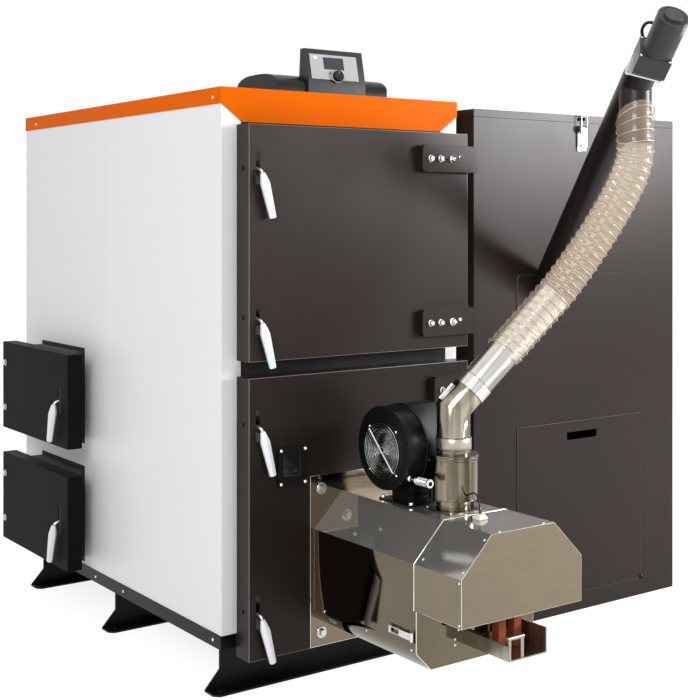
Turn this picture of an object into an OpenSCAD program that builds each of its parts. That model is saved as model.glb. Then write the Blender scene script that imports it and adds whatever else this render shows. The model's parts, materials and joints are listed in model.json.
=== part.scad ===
// Solid fuel boiler with a pellet burner, a pellet hopper and an inclined auger.
// Millimetres, +Z up, the front faces -Y. The origin lies on the floor at the middle
// of the white casing's footprint. Inside corner() the origin is the casing's front
// left corner on the floor.

/* [Casing] */
// Width of the white casing
casing_w = 756; // [730:2:800]
// Depth of the white casing, front to rear
casing_d = 1256; // [1236:2:1320]
// Thickness of the casing's sheets
sheet_t = 1.5; // [1:0.25:2]
// Depth of the cover's side flanges
cover_flange = 41.6; // [34:0.2:44]
// Drop of the cover's front lip below its side flanges
lip_drop = 43; // [30:0.5:46]
// Width of the white strips beside the front doors
strip_w = 56; // [50:0.5:57]
// Thickness of the insulation beside the water jacket
wrap_t = 60; // [59:0.5:70]

/* [Feet] */
// Height of the casing above the floor
foot_h = 121; // [105:1:135]
// Plate thickness of the feet
foot_t = 5; // [4:0.5:7]
// Depth of each foot's floor flange
foot_flange = 50; // [44:1:60]
// Diameter of the floor bolt holes
foot_hole_d = 12; // [9:0.5:16]

/* [Pressure body] */
// Sheet of the outer water jacket
jacket_t = 5; // [4:0.5:8]
// Sheet of the chambers and the exchanger
fire_t = 6; // [4:0.5:10]
// Side distance from the casing to each door mouth
mouth_side = 125; // [118:1:138]
// Depth of the burner chamber and the loading chamber
chamber_d = 672; // [600:2:690]
// Thickness of a water shelf in the exchanger
shelf_t = 20; // [14:1:26]
// Pitch of the water shelves
shelf_pitch = 65; // [60:1:75]
// Outer diameter of the flue spigot
flue_d = 160; // [140:1:180]
// Length of the flue spigot behind the casing
flue_len = 94; // [70:1:120]
// Bore of the flow and return sockets
socket_bore_d = 44.8; // [36:0.2:50]

/* [Front doors] */
// Height of the lower front door
low_door_h = 683; // [670:1:710]
// Height of the upper front door
up_door_h = 576; // [560:1:620]
// Gap between the front doors
door_gap = 39; // [30:1:50]
// Distance from the casing's side to the side of a front door
door_side = 31; // [29:0.5:34]
// Depth of a front door
door_t = 58.7; // [54:0.1:62]
// Sheet of a front door
door_sheet = 3; // [2:0.25:4]
// Distance of a handle slot from the door's edge
handle_in = 25; // [24:0.5:28]
// Length of a handle slot
slot_h = 80; // [74:1:90]
// Height of a hinge leaf
leaf_h = 71; // [60:1:84]
// Length of a hinge leaf
leaf_w = 190; // [160:1:210]

/* [Side doors] */
// Height of a side door
side_door_h = 270; // [255:1:285]
// Width of a side door
side_door_w = 504; // [490:1:520]
// Depth of a side door
side_door_t = 44; // [40:0.5:50]
// Gap between the side doors
side_door_gap = 78; // [60:1:90]
// Width of a cleaning neck
neck_w = 300; // [260:1:320]

/* [Handles] */
// Length of a handle's grip
grip_l = 113; // [90:1:120]
// Greatest diameter of a grip
grip_d = 26; // [20:0.5:27]
// Diameter of a handle's rod
rod_d = 8; // [6:0.5:10]
// Lean of a hanging grip, in degrees
grip_lean = 15; // [0:1:20]

/* [Burner] */
// Width of the burner casing
burner_w = 359; // [340:1:370]
// Length of the burner casing in front of its flange
burner_l = 404; // [395:1:430]
// Length of the hood in front of the burner casing
hood_l = 156; // [140:1:180]
// Sheet of the burner casing
burner_t = 2; // [1.5:0.25:3]
// Thickness of the burner's flange
flange_t = 4; // [3:0.5:8]
// Outer diameter of the combustion tube
fire_tube_d = 230; // [200:1:236]
// Reach of the combustion tube past the door's back
fire_tube_reach = 174; // [120:1:240]

/* [Fan] */
// Diameter of the fan's front drum
fan_d = 200; // [190:1:206]
// Diameter of the impeller
impeller_d = 112; // [100:1:116]
// Diameter of the inlet guard
guard_d = 134; // [112:1:144]

/* [Pellet feed] */
// Outer diameter of the feed pipe and the auger tube
pipe_d = 80; // [76:0.5:80.5]
// Wall of the feed pipe and the auger tube
pipe_t = 2.5; // [1.5:0.25:3]
// Height of the drum on the burner
drum_h = 105.5; // [90:0.5:120]
// Diameter of the drum on the burner
drum_d = 115; // [100:1:124]
// Bend of the feed pipe, in degrees
pipe_bend = 45; // [42:0.5:48]
// Pitch of the hose's ribs
rib_pitch = 22; // [20:0.5:26]
// Diameter of the hose over its ribs
rib_d = 97; // [95:0.5:100]

/* [Auger] */
// Slope of the auger above the horizontal, in degrees
auger_slope = 42; // [41:0.5:43]
// Turn of the auger to the left of straight ahead, in degrees
auger_turn = 22.5; // [21:0.5:24]
// Diameter of the screw's flight
flight_d = 68; // [60:1:70]
// Side of the gearbox
gear_w = 80; // [70:1:90]
// Length of the gearbox
gear_l = 54; // [46:1:64]
// Diameter of the motor
motor_d = 77; // [66:1:80]
// Length of the motor
motor_l = 105; // [90:1:120]

/* [Hopper] */
// Gap between the casing and the hopper
hopper_gap = 64; // [62:1:80]
// Width of the hopper
hopper_w = 842; // [830:2:860]
// Depth of the hopper
hopper_d = 820; // [800:2:860]
// Height of the hopper without its lid
hopper_h = 1463; // [1440:1:1480]
// Sheet of the hopper
hopper_t = 2; // [1.5:0.25:3]
// Height of the lid
lid_h = 22; // [18:1:30]
// Width of the service door
service_w = 527; // [500:1:550]
// Height of the service door
service_h = 516; // [480:1:530]

/* [Controller] */
// Length of the controller's plinth
plinth_w = 355; // [320:1:380]
// Height of the plinth
plinth_h = 54; // [44:1:60]
// Width of the controller
control_w = 184; // [160:1:200]
// Diameter of the controller's knob
knob_d = 30; // [24:0.5:32]
// Tilt of the controller's face, in degrees
face_tilt = 12; // [8:1:16]

/* [Hidden] */
$fn = 48;
cut = 2;
fit = 0.05;
play = 0.5;
seat = 0.3;
thin = 0.01;

// Heights that follow from the doors
door_drop = 13.3;
head_h = 94.3;
low_z0 = foot_h - door_drop;
low_z1 = low_z0 + low_door_h;
up_z0 = low_z1 + door_gap;
up_z1 = up_z0 + up_door_h;
casing_h = up_z1 + head_h;

// Door planes, measured forward of the casing's front
frame_front = 23;
frame_back = 12;
door_clear = 0.6;
door_back = frame_front + door_clear;
door_front = door_back + door_t;

// Feet
foot_in = 36;
foot_splay_share = 0.41;
foot_splay_h = foot_h * foot_splay_share;
foot_out = 5;
foot_top = 30;
foot_front_y = 16;
foot_mid_back = 16;
foot_rear_in = 114;
foot_hole_in = 20;
foot_corner = 14;

// Sills
sill_h = 34;
sill_t = 3;
sill_flange = 40;
sill_lip = 12;
sill_top = foot_h + sill_h;

// Panels and cover
lap = 0.5;
panel_x = sheet_t + lap;
panel_in = panel_x + sheet_t;
panel_z1 = casing_h - sheet_t;
seam_y = casing_d / 2 + 1;
seam_gap = 1;
fold = 12;
cover_front = 2;
lip_in = 59.6;
screw_r = 4;
screw_h = 2.5;
cover_screw_in = 38;
cover_screw_rear = 90;

// Jacket, chambers and exchanger
jacket_over = 6.3;
jacket_top = up_z1 + jacket_over;
jacket_rear = 66;
jacket_y1 = casing_d - jacket_rear;
mouth_in = 55.5;
mouth_x0 = mouth_side;
mouth_x1 = casing_w - mouth_side;
low_mouth_z0 = low_z0 + mouth_in;
low_mouth_z1 = low_z1 - mouth_in;
up_mouth_z0 = up_z0 + mouth_in;
up_mouth_z1 = up_z1 - mouth_in;
exch_y0 = frame_back + chamber_d + fire_t;
exch_water = 73;
exch_y1 = jacket_y1 - jacket_t - exch_water - fire_t;
throat_side = 75;
low_throat_up = 35;
low_throat_z0 = low_mouth_z0 + low_throat_up;
low_throat_h = 400;
up_throat_in = 15;
up_throat_h = 100;
shelf_side = 60;
shelf_n = 4;
catch_r = 3.5;
catch_reach = 39;

// Flue and sockets
flue_t = 3;
flue_down = 150;
flue_z = up_mouth_z1 - flue_down;
flue_collar = 15;
socket_wall = 7.6;
socket_out = 24;
flow_x = 200;
flow_down = 32;
return_in = 200;
return_up = 94;

// Handles
pivot_in = 31.3;
pivot_y = door_front - pivot_in;
pivot_r = 4;
hub_r = 9;
hub_right = 9.5;
rib_t = 3;
rib_h = 40;
slot_w = 12;
rod_out = 48;
rod_drop = 14;
arm_l = 43;
arm_t = 6;
arm_h = 10;
arm_x = 12;
head_r = 6;
head_t = 3;
grip_neck_r = 5;
grip_shoulder_share = 0.2;
grip_end_share = 0.7;
up_slot_in = 106.5;
low_slot_in = 115;
handle_x = door_side + handle_in;
hub_left = handle_in - door_sheet - play;

// Door lining and rope
lining_in = 22;
lining_x0 = handle_x + lining_in;
lining_back = 36;
rope_out = 15;
rope_w = 16;
plug_clear = 15;
plug_reach = 20;
tube_clear = 5;

// Front hinges
hinge_in = 18;
hinge_x = casing_w - hinge_in;
hinge_y = 63.6;
leaf_in = 35;
leaf_t = 5;
leaf_off = 21;
leaf_over = 4;
leaf_clear = 3;
knuckle_r = 9;
pin_r = 5;
pin_head_r = 7;
pin_head_t = 4;
bracket_t = 10;
bracket_back = 5;
leaf_bolt_in = 26;
leaf_bolt_pitch = 34;
hex_r = 7;
hex_h = 6;
washer_r = 9;
washer_t = 2;
adjust_in = 88;

// Sight port
port_gap = 10;
port_w = 84.5;
port_h = 96;
port_up = 412.3;
port_t = 7;
window_w = 51;
window_h = 52.5;
window_in = 13.5;
window_up = 23.5;
glass_lap = 5;
glass_t = 3;

// Side doors
side_back = 50;
side_door_up = 48;
side_door_rear = 50;
side_z0 = foot_h + side_door_up;
side_z1 = side_z0 + side_door_h + side_door_gap;
side_y1 = casing_d - side_door_rear;
side_y0 = side_y1 - side_door_w;
side_slot_in = 60;
side_pivot_y = side_y0 + side_slot_in;
side_pivot_x = side_back + side_door_t - pivot_in;
neck_inset = 6;
neck_y1 = exch_y1 + fire_t;
neck_y0 = neck_y1 - neck_w;
neck_gap = 12;
neck_end = side_back - door_clear;
side_hinge_x = 62;
side_hinge_off = 10;
side_hinge_y = side_y1 + side_hinge_off;
side_knuckle_r = 8;
side_pin_r = 4;
side_leaf_h = 54;
side_bracket_t = 6;
side_bracket_x = 44;
side_arm_t = 12;
side_bolt_in = 21;
side_bolt_up = 65;
side_seal_t = 8;

// Burner
burner_off = 19.5;
burner_up = 53.3;
burner_h = 329;
burner_x = casing_w / 2 + burner_off;
burner_z0 = low_z0 + burner_up;
burner_z1 = burner_z0 + burner_h;
burner_top_cut = 85.5;
burner_low_cut = 43;
flange_w = 383;
flange_up = 2.3;
flange_z0 = low_z0 + flange_up;
flange_h = 427;
flange_y = door_front + flange_t;
casing_y = flange_y + burner_l;
hood_y = casing_y + hood_l;
hood_t = 1.5;
hood_lap = 6;
hood_drop = 190;
tube_up = 162.5;
tube_z = burner_z0 + tube_up;
fire_tube_t = 3;
fire_tube_front = 20;
flange_bolt_in = 34;
big_washer_r = 14;
big_head_r = 10;
big_head_h = 8;
small_head_r = 3.2;
small_head_h = 2;
side_screw_up = 37;
latch_l = 92;
latch_w = 22;
latch_t = 4;
latch_up = 69;
latch_gap = 4;
latch_front = 9;
latch_pin_r = 2.5;
latch_knuckle_r = 4.5;
latch_ear_t = 3;
latch_plate_t = 2;

// Igniter under the hood
tray_x0 = burner_x;
tray_w = 116;
tray_up = 20;
tray_l = 110;
tray_t = 3;
tray_wall = 34;
upright_h = 58;
block_w = 22;
block_h = 112;
block_gap = 26;
block_off = 30;
strap_r = 5;
strap_w = 44;
strap_z = 46;
lead_r = 3.5;
lead_sides = 8;
lead_up = 77;
plug_w = 26;
plug_h = 12;
plug_y = 527;
plug_off = 22.5;
plug_lead_r = 2;

// Fan
fan_y = 280;
fan_up = 137;
fan_low = 6;
fan_z = burner_z1 + fan_up;
fan_axis_z = fan_z - fan_low;
fan_off = 112.5;
fan_l = 55;
scroll_l = 90;
fan_x0 = burner_x - fan_off;
fan_x1 = fan_x0 + fan_l;
scroll_x1 = fan_x1 + scroll_l;
scroll_d = 205;
scroll_front = 345;
scroll_slant = 45;
fan_wall = 4;
fan_face = 5;
fan_neck_y0 = 245;
fan_neck_y1 = 330;
fan_base_off = 38;
fan_base_w = 149;
fan_base_x0 = fan_x0 + fan_base_off;
fan_base_x1 = fan_base_x0 + fan_base_w;
fan_base_y0 = 215;
fan_base_y1 = 338;
fan_base_t = 4;
fan_lip = 3;
fan_lip_t = 3;
fan_lip_shares = [0.18, 0.42];
fan_motor_l = 70;
fan_motor_d = 80;
fan_shaft_r = 4;
fan_shaft_l = 150;
inlet_d = 108;
impeller_gap = 12;
impeller_end = 26;
impeller_plate = 4;
impeller_ring = 14;
blade_n = 20;
blade_t = 2;
wire_r = 1.5;
guard_step = 10;
guard_n = 5;
guard_off = 6;
sensor_r = 9.5;
sensor_l = 46;
sensor_neck_r = 4;
sensor_neck_l = 40;
sensor_in = 12;
sensor_sink = 3.5;
sensor_low_share = 0.6;
sensor_y = fan_y + fan_d / 2 * sqrt(1 - sensor_low_share * sensor_low_share) - sensor_sink;

// Feed inlet, elbow and hose
feed_y = 408;
feed_plate_w = 104;
feed_plate_d = 98;
feed_plate_t = 3;
spigot_h = 24;
collar_h = 30;
drum_neck_h = 10;
drum_rim = 2;
drum_rim_h = 6;
collar_t = 2;
elbow_up = 238;
elbow_z = burner_z1 + elbow_up;
drum_z = burner_z1 + feed_plate_t + spigot_h;
neck_z = drum_z + drum_h;
collar_z = neck_z + drum_neck_h;
ring_l0 = 52;
ring_l = 34;
ring_t = 2;
clamp_r = 5.5;
clamp_l = 46;
clamp_low = 8;
clamp_sink = 3;
hose_l0 = 178;
hose_start = 190;
hose_end = 96;
hose_sides = 8;
hose_wall = 1.7;
hose_bore_r = (pipe_d / 2 + seat) / cos(180 / hose_sides);
rib_root_r = hose_bore_r + hose_wall;
hose_k1 = 45;
hose_k2 = 90;
hose_tilt_share = 0.646;
curve_n = 60;
over_pipe = 192;

// Auger
spout_x = 103;
spout_y = 558;
spout_z = 7;
spout_l = 141;
elbow_az = atan2(spout_y - feed_y, casing_w + spout_x - burner_x);
tube_top = 60;
tube_down = 1760;
plate_w = 90;
plate_t = 4;
shaft_r = 8;
bearing_t = 8;
flight_t = 5;
flight_pitch = 72;
flight_sides = 14;
flight_sink = 1;
flight_foot = 40;
intake_l = 120;
intake_w = 60;
intake_up = 30;
gear_roll = 20;
gear_off = 11;
motor_off = 17;
gear_bore_l = 40;
cap_t = 6;
cap_r = 24;
term_w = 42;
term_l = 62;
term_h = 26;
motor_lead_r = 4;

// Hopper
hopper_x0 = casing_w + hopper_gap;
hopper_x1 = hopper_x0 + hopper_w;
plate_in = 165;
cover_w = 532.6;
plate_x0 = hopper_x0 + plate_in;
plate_x1 = plate_x0 + cover_w;
plate_z0 = 857;
plate_z1 = 1010;
cover_t = 3;
cover_lap = 15;
cover_hole = 0.3;
service_x0 = hopper_x0 + plate_in;
service_z0 = 54;
service_lap = 10;
service_hinge_y = 4;
service_pin_r = 3;
service_ear = 9;
service_ear_t = 6;
hand_w = 126;
hand_h = 23;
hand_down = 55;
funnel_top = 1080;
funnel_low = 480;
funnel_in = 470;
funnel_x0 = hopper_x0 + funnel_in;
funnel_y0 = 560;
funnel_w = 110;
funnel_d = 140;
boot_l = 75;
saddle_t = 6;
saddle_w = 100;
saddle_at = 1700;
lid_hinge_y = 7;
lid_knuckle_r = 6;
lid_pin_r = 3;
lid_knuckle_l = 30;
lid_hinge_in = 170;
catch_in = 428;
catch_x = hopper_x0 + catch_in;
catch_w = 22;
catch_h = 10;
catch_t = 6;
toggle_w = 38;
toggle_z0 = 85;
toggle_h = 72;
toggle_t = 3;
ear_t = 3;
ear_out = 14;
ear_h = 16;
toggle_pin_r = 2.5;
toggle_pin_y = 9;
toggle_pin_down = 17;
lever_w = 18;
lever_t = 3;
lever_l = 56;
bail_r = 1.5;
bail_drop = 10;
bail_w = 24;
bail_pin_r = 1.2;
bail_h = 48;

// Controller
plinth_left = 183;
plinth_x0 = casing_w / 2 - plinth_left;
plinth_y0 = 50;
plinth_y1 = 250;
plinth_mid = 150;
plinth_half = 105;
plinth_power = 3;
plinth_steps = 24;
control_left = 90;
control_x0 = casing_w / 2 - control_left;
control_y0 = 43;
control_up = 38;
control_z = casing_h + control_up;
control_h = 84;
control_d = 46;
control_top = 22;
face_in = 10;
face_w = 151;
face_h = 68;
face_up = 3;
face_t = 3;
screen_w = 65;
screen_h = 33;
screen_t = 1.5;
screen_x = 42;
screen_up = 28;
knob_x = 80;
knob_up = 9;
knob_h = 13;
knob_ring = 2;
knob_shaft_r = 3;

// Shares of the burner's width, length and height at which small screws sit
small_edge = 7;
hood_screw_share = 0.37;
side_screw_shares = [0.11, 0.54, 0.96];
front_screw_shares = [[-0.31, 0.23], [-0.37, 0.17], [-0.37, 0.13]];

// Sight port height, lever hub and the gap above the hose
port_x0 = burner_x - flange_w / 2 - port_gap - port_w;
port_z0 = low_z0 + port_up;
lever_hub_r = 4.5;
spout_top_gap = 68;

// Routes of the leads, hand-placed from their own start
igniter_route = [
  [-100, 0, 20], [-80, 0, 15], [-60, 0, 9], [-40, 0, 0], [-20, 0, -10], [4, 0, -19]];
plug_route = [[0, 0, 0], [2, 0, 16], [8, 0, 32], [20, 0, 42], [36, 0, 40], [50, 0, 34]];
plug_end = 30;
motor_route = [
  [0, 0, 40], [-14, 0, 42], [-24, 0, 34], [-26, 0, 16], [-18, 0, -2], [-2, 0, -14]];

// Moves the children from the casing's front left corner to the origin.
module corner() {
  translate([-casing_w / 2, -casing_d / 2, 0]) children();
}

// A box between two opposite corners.
module box(x0, x1, y0, y1, z0, z1) {
  translate([x0, y0, z0]) cube([x1 - x0, y1 - y0, z1 - z0]);
}

// Turns a child that points along +Z to point along +X, or along +Y.
module along_x(x, y, z) {
  translate([x, y, z]) rotate([0, 90, 0]) children();
}

module along_y(x, y, z) {
  translate([x, y, z]) rotate([-90, 0, 0]) children();
}

module ring(r, bore, h) {
  difference() {
    cylinder(r = r, h = h);
    translate([0, 0, -cut]) cylinder(r = bore, h = h + 2 * cut);
  }
}

module right_side() {
  translate([casing_w, 0, 0]) mirror([1, 0, 0]) children();
}

// Screw head on a face that looks along -Y.
module head_front(x, y, z, r, h) {
  along_y(x, -y - h, z) cylinder(r = r, h = h);
}

module hex_front(x, y, z, r, h) {
  along_y(x, -y - h, z) cylinder(r = r, h = h, $fn = 6);
}

// Swept tubes: rings of points round a route that lies in one plane.
function unit(v) = v / norm(v);
function heading(p, i) = unit(p[min(i + 1, len(p) - 1)] - p[max(i - 1, 0)]);
function loop_at(c, t, s, r, n) =
  let (u = unit(cross(t, s)))
  [for (k = [0 : n - 1]) c + r * (cos(360 * k / n) * s + sin(360 * k / n) * u)];

module swept(rings, closed) {
  n = len(rings[0]);
  m = len(rings);
  steps = closed ? m : m - 1;
  walls = [for (i = [0 : steps - 1]) for (k = [0 : n - 1])
    let (j = (i + 1) % m, l = (k + 1) % n)
    each [[i * n + k, j * n + l, i * n + l], [i * n + k, j * n + k, j * n + l]]];
  ends = closed ? [] : concat(
    [for (k = [1 : n - 2]) [0, k, k + 1]],
    [for (k = [1 : n - 2]) [(m - 1) * n, (m - 1) * n + k + 1, (m - 1) * n + k]]);
  polyhedron(points = [for (r = rings) each r], faces = concat(walls, ends));
}

module cord(route, side, r) {
  swept([for (i = [0 : len(route) - 1])
    loop_at(route[i], heading(route, i), side, r, lead_sides)], false);
}

// Feet
module foot_web() {
  polygon([
    [foot_in, foot_h], [foot_in, foot_splay_h], [-foot_out, foot_t], [-foot_out, 0],
    [casing_w + foot_out, 0], [casing_w + foot_out, foot_t],
    [casing_w - foot_in, foot_splay_h], [casing_w - foot_in, foot_h]]);
}

module floor_beam(y) {
  translate([0, y + foot_flange + foot_t, 0]) rotate([90, 0, 0])
    linear_extrude(foot_t) foot_web();
  difference() {
    linear_extrude(foot_t) polygon([
      [-foot_out, y + foot_flange], [-foot_out, y + foot_corner],
      [foot_corner - foot_out, y], [casing_w + foot_out - foot_corner, y],
      [casing_w + foot_out, y + foot_corner], [casing_w + foot_out, y + foot_flange]]);
    for (x = [foot_hole_in, casing_w - foot_hole_in])
      translate([x, y + foot_flange / 2, -cut])
        cylinder(d = foot_hole_d, h = foot_t + 2 * cut);
  }
  box(foot_in, casing_w - foot_in, y + foot_flange, y + foot_flange + foot_top,
    foot_h - foot_t, foot_h);
}

module floor_beams() {
  color("#1c1c1e") corner() {
    floor_beam(foot_front_y);
    floor_beam(casing_d / 2 - foot_mid_back);
    floor_beam(casing_d - foot_rear_in);
  }
}

// Sill ring under the panels
module sill_ring(wall, h) {
  linear_extrude(h) difference() {
    square([casing_w, casing_d]);
    translate([wall, wall]) square([casing_w - 2 * wall, casing_d - 2 * wall]);
  }
}

module base_sills() {
  color("#1c1c1e") corner() difference() {
    translate([0, 0, foot_h]) {
      sill_ring(sill_flange, sill_t);
      sill_ring(sill_t, sill_h);
      translate([0, 0, sill_h - sill_t]) sill_ring(sill_lip, sill_t);
    }
    box(wrap_t, casing_w - wrap_t, -cut, sill_flange + cut, foot_h - cut, sill_top + cut);
  }
}

// Pressure body
module side_neck_boxes(extra, x0, x1) {
  for (z = [side_z0, side_z1])
    box(x0, x1, neck_y0 - extra, neck_y1 + extra, z + neck_inset - extra,
      z + side_door_h - neck_inset + extra);
}

module chamber_outline(grow) {
  box(mouth_x0 - grow, mouth_x1 + grow, frame_back, exch_y0 - fire_t + grow,
    low_mouth_z0 - grow, low_mouth_z1 + grow);
  box(mouth_x0 - grow, mouth_x1 + grow, frame_back, exch_y0 - fire_t + grow,
    up_mouth_z0 - grow, up_mouth_z1 + grow);
}

// The plates of a welded box: front and rear whole, the others between them.
module box_plates(x0, x1, y0, y1, z0, z1, t) {
  for (y = [y0, y1 - t]) box(x0, x1, y, y + t, z0, z1);
  tube_plates(x0, x1, y0 + t + seat, y1 - t - seat, z0, z1, t);
}

// Two side plates, and a floor and a roof plate between them.
module tube_plates(x0, x1, y0, y1, z0, z1, t) {
  for (x = [x0, x1 - t]) box(x, x + t, y0, y1, z0, z1);
  for (z = [z0, z1 - t]) box(x0 + t + seat, x1 - t - seat, y0, y1, z, z + t);
}

module jacket_shell() {
  color("#5a5d61") corner() difference() {
    box_plates(wrap_t, casing_w - wrap_t, frame_back, jacket_y1, foot_h, jacket_top, jacket_t);
    translate([0, -cut, 0]) intersection() {
      chamber_outline(fire_t);
      box(0, casing_w, 0, frame_back + jacket_t + 2 * cut, 0, casing_h);
    }
    side_neck_boxes(0, 0, wrap_t + jacket_t + cut);
    along_y(casing_w / 2, jacket_y1 - jacket_t - cut, flue_z)
      cylinder(r = flue_d / 2 + fit, h = jacket_t + 2 * cut);
    for (p = socket_places())
      along_y(p[0], jacket_y1 - jacket_t - cut, p[1])
        cylinder(d = socket_bore_d, h = jacket_t + 2 * cut);
  }
}

function socket_places() = [
  [flow_x, jacket_top - flow_down], [casing_w - return_in, foot_h + return_up]];

module firebox() {
  x0 = mouth_x0 - fire_t;
  x1 = mouth_x1 + fire_t;
  color("#6a6661") corner() {
    for (z = [[low_mouth_z0, low_mouth_z1], [up_mouth_z0, up_mouth_z1]])
      tube_plates(x0, x1, frame_back, exch_y0 - fire_t - seat, z[0] - fire_t, z[1] + fire_t, fire_t);
    difference() {
      box_plates(x0, x1, exch_y0 - fire_t, exch_y1 + fire_t, low_mouth_z0 - fire_t,
        up_mouth_z1 + fire_t, fire_t);
      box(mouth_x0 + throat_side, mouth_x1 - throat_side, exch_y0 - fire_t - cut,
        exch_y0 + seat / 2, low_throat_z0, low_throat_z0 + low_throat_h);
      box(mouth_x0 + throat_side, mouth_x1 - throat_side, exch_y0 - fire_t - cut,
        exch_y0 + seat / 2, up_mouth_z0 + up_throat_in, up_mouth_z0 + up_throat_in + up_throat_h);
      side_neck_boxes(-fire_t, x0 - cut, mouth_x0 + seat / 2);
      along_y(casing_w / 2, exch_y1 - seat / 2, flue_z)
        cylinder(r = flue_d / 2 - flue_t, h = fire_t + 2 * cut);
    }
    for (z = [side_z0, side_z1])
      neck_plates(-neck_end, x0 - seat, z + neck_inset, z + side_door_h - neck_inset);
  }
}

module neck_plates(x0, x1, z0, z1) {
  for (y = [neck_y0, neck_y1 - fire_t]) box(x0, x1, y, y + fire_t, z0, z1);
  for (z = [z0, z1 - fire_t])
    box(x0, x1, neck_y0 + fire_t + seat, neck_y1 - fire_t - seat, z, z + fire_t);
}

module front_frame() {
  color("#3a3836") corner() {
    difference() {
      box(wrap_t, casing_w - wrap_t, -frame_front, frame_back, foot_h, jacket_top);
      box(mouth_x0, mouth_x1, -frame_front - cut, frame_back + cut, low_mouth_z0, low_mouth_z1);
      box(mouth_x0, mouth_x1, -frame_front - cut, frame_back + cut, up_mouth_z0, up_mouth_z1);
    }
    for (z = [up_z0 + up_slot_in, up_z1 - up_slot_in, low_z0 + low_slot_in, low_z1 - low_slot_in])
      along_x(handle_x - arm_x - cut, -pivot_y + catch_reach, z + arm_h / 2 + play + catch_r)
        cylinder(r = catch_r, h = wrap_t - handle_x + arm_x + cut);
  }
  color("#3a3836") corner() for (z = [side_z0, side_z1])
    along_y(-side_pivot_x + catch_reach, side_pivot_y + arm_x - arm_t - cut,
      z + side_door_h / 2 + arm_h / 2 + play + catch_r)
      cylinder(r = catch_r, h = neck_y0 - side_pivot_y - arm_x + arm_t + cut);
}

module exchanger_plates() {
  color("#77706a") corner() for (z = [side_z0, side_z1]) for (i = [0 : shelf_n - 1])
    box(mouth_x0 + shelf_side, mouth_x1 - shelf_side, exch_y0, exch_y1,
      z + neck_inset + shelf_t + i * shelf_pitch, z + neck_inset + 2 * shelf_t + i * shelf_pitch);
}

module insulation_wrap() {
  color("#d9c98f") corner() difference() {
    union() {
      for (x = [panel_in, casing_w - wrap_t])
        box(x, x + wrap_t - panel_in, frame_back, casing_d - panel_in, sill_top, jacket_top);
      box(wrap_t, casing_w - wrap_t, jacket_y1, casing_d - panel_in, sill_top, jacket_top);
      box(panel_in, casing_w - panel_in, frame_back, casing_d - panel_in, jacket_top, panel_z1);
    }
    side_neck_boxes(play, -cut, wrap_t + cut);
    for (x = [0, casing_w - panel_x - fold - play])
      box(x, x + panel_x + fold + play, seam_y - seam_gap - sheet_t - play,
        seam_y + seam_gap + sheet_t + play, 0, casing_h);
    along_y(casing_w / 2, jacket_y1 - cut, flue_z)
      cylinder(r = flue_d / 2 + play, h = jacket_rear + 2 * cut);
    for (p = socket_places())
      along_y(p[0], jacket_y1 - cut, p[1])
        cylinder(r = socket_bore_d / 2 + socket_wall + play, h = jacket_rear + 2 * cut);
  }
}

// White panels
module side_front_panel() {
  box(panel_x, panel_in, 0, seam_y - seam_gap / 2, sill_top, panel_z1);
  box(panel_x, panel_x + strip_w, 0, sheet_t, sill_top, panel_z1);
  box(panel_x + strip_w - sheet_t, panel_x + strip_w, 0, frame_back - play, sill_top, panel_z1);
  box(panel_x, panel_x + fold, seam_y - seam_gap / 2 - sheet_t, seam_y - seam_gap / 2,
    sill_top, panel_z1);
}

module side_rear_panel() {
  box(panel_x, panel_in, seam_y + seam_gap / 2, casing_d - panel_x, sill_top, panel_z1);
  box(panel_x, panel_x + fold, seam_y + seam_gap / 2, seam_y + seam_gap / 2 + sheet_t,
    sill_top, panel_z1);
  box(panel_x, panel_x + fold, casing_d - panel_in, casing_d - panel_x, sill_top, panel_z1);
}

module left_front_panel() {
  color("#f4f5f7") corner() side_front_panel();
}

module left_rear_panel() {
  color("#f4f5f7") corner() difference() {
    side_rear_panel();
    side_neck_boxes(neck_gap, -cut, panel_in + cut);
  }
}

module far_panels() {
  color("#f4f5f7") corner() {
    right_side() {
      side_front_panel();
      side_rear_panel();
    }
    difference() {
      box(panel_x + fold + lap, casing_w - panel_x - fold - lap, casing_d - panel_in,
        casing_d - panel_x, sill_top, panel_z1);
      along_y(casing_w / 2, casing_d - panel_in - cut, flue_z)
        cylinder(r = flue_d / 2 + play, h = sheet_t + 2 * cut);
      for (p = socket_places())
        along_y(p[0], casing_d - panel_in - cut, p[1])
          cylinder(r = socket_bore_d / 2 + socket_wall + play, h = sheet_t + 2 * cut);
    }
  }
}

module top_cover() {
  color("#ef6f00") corner() {
    box(0, casing_w, -cover_front, casing_d, casing_h - sheet_t, casing_h);
    box(0, sheet_t, -cover_front, casing_d, casing_h - cover_flange, casing_h);
    box(casing_w - sheet_t, casing_w, -cover_front, casing_d, casing_h - cover_flange, casing_h);
    box(0, casing_w, casing_d - sheet_t, casing_d, casing_h - cover_flange, casing_h);
    translate([0, sheet_t - cover_front, 0]) rotate([90, 0, 0]) linear_extrude(sheet_t)
      polygon([
        [0, casing_h], [0, casing_h - cover_flange],
        [lip_in, casing_h - cover_flange - lip_drop],
        [casing_w - lip_in, casing_h - cover_flange - lip_drop],
        [casing_w, casing_h - cover_flange], [casing_w, casing_h]]);
  }
}

module side_screws() {
  for (y = [cover_screw_in, casing_d - cover_screw_rear])
    along_x(-screw_h, y, casing_h - cover_flange / 2 - screw_r) cylinder(r = screw_r, h = screw_h);
  for (y = [cover_screw_in, seam_y - cover_screw_rear, seam_y + cover_screw_rear,
      casing_d - cover_screw_rear])
    along_x(-screw_h, y, foot_h + sill_h / 2) cylinder(r = screw_r, h = screw_h);
}

module casing_screws() {
  color("#8d9094") corner() {
    side_screws();
    right_side() side_screws();
  }
}

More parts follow.
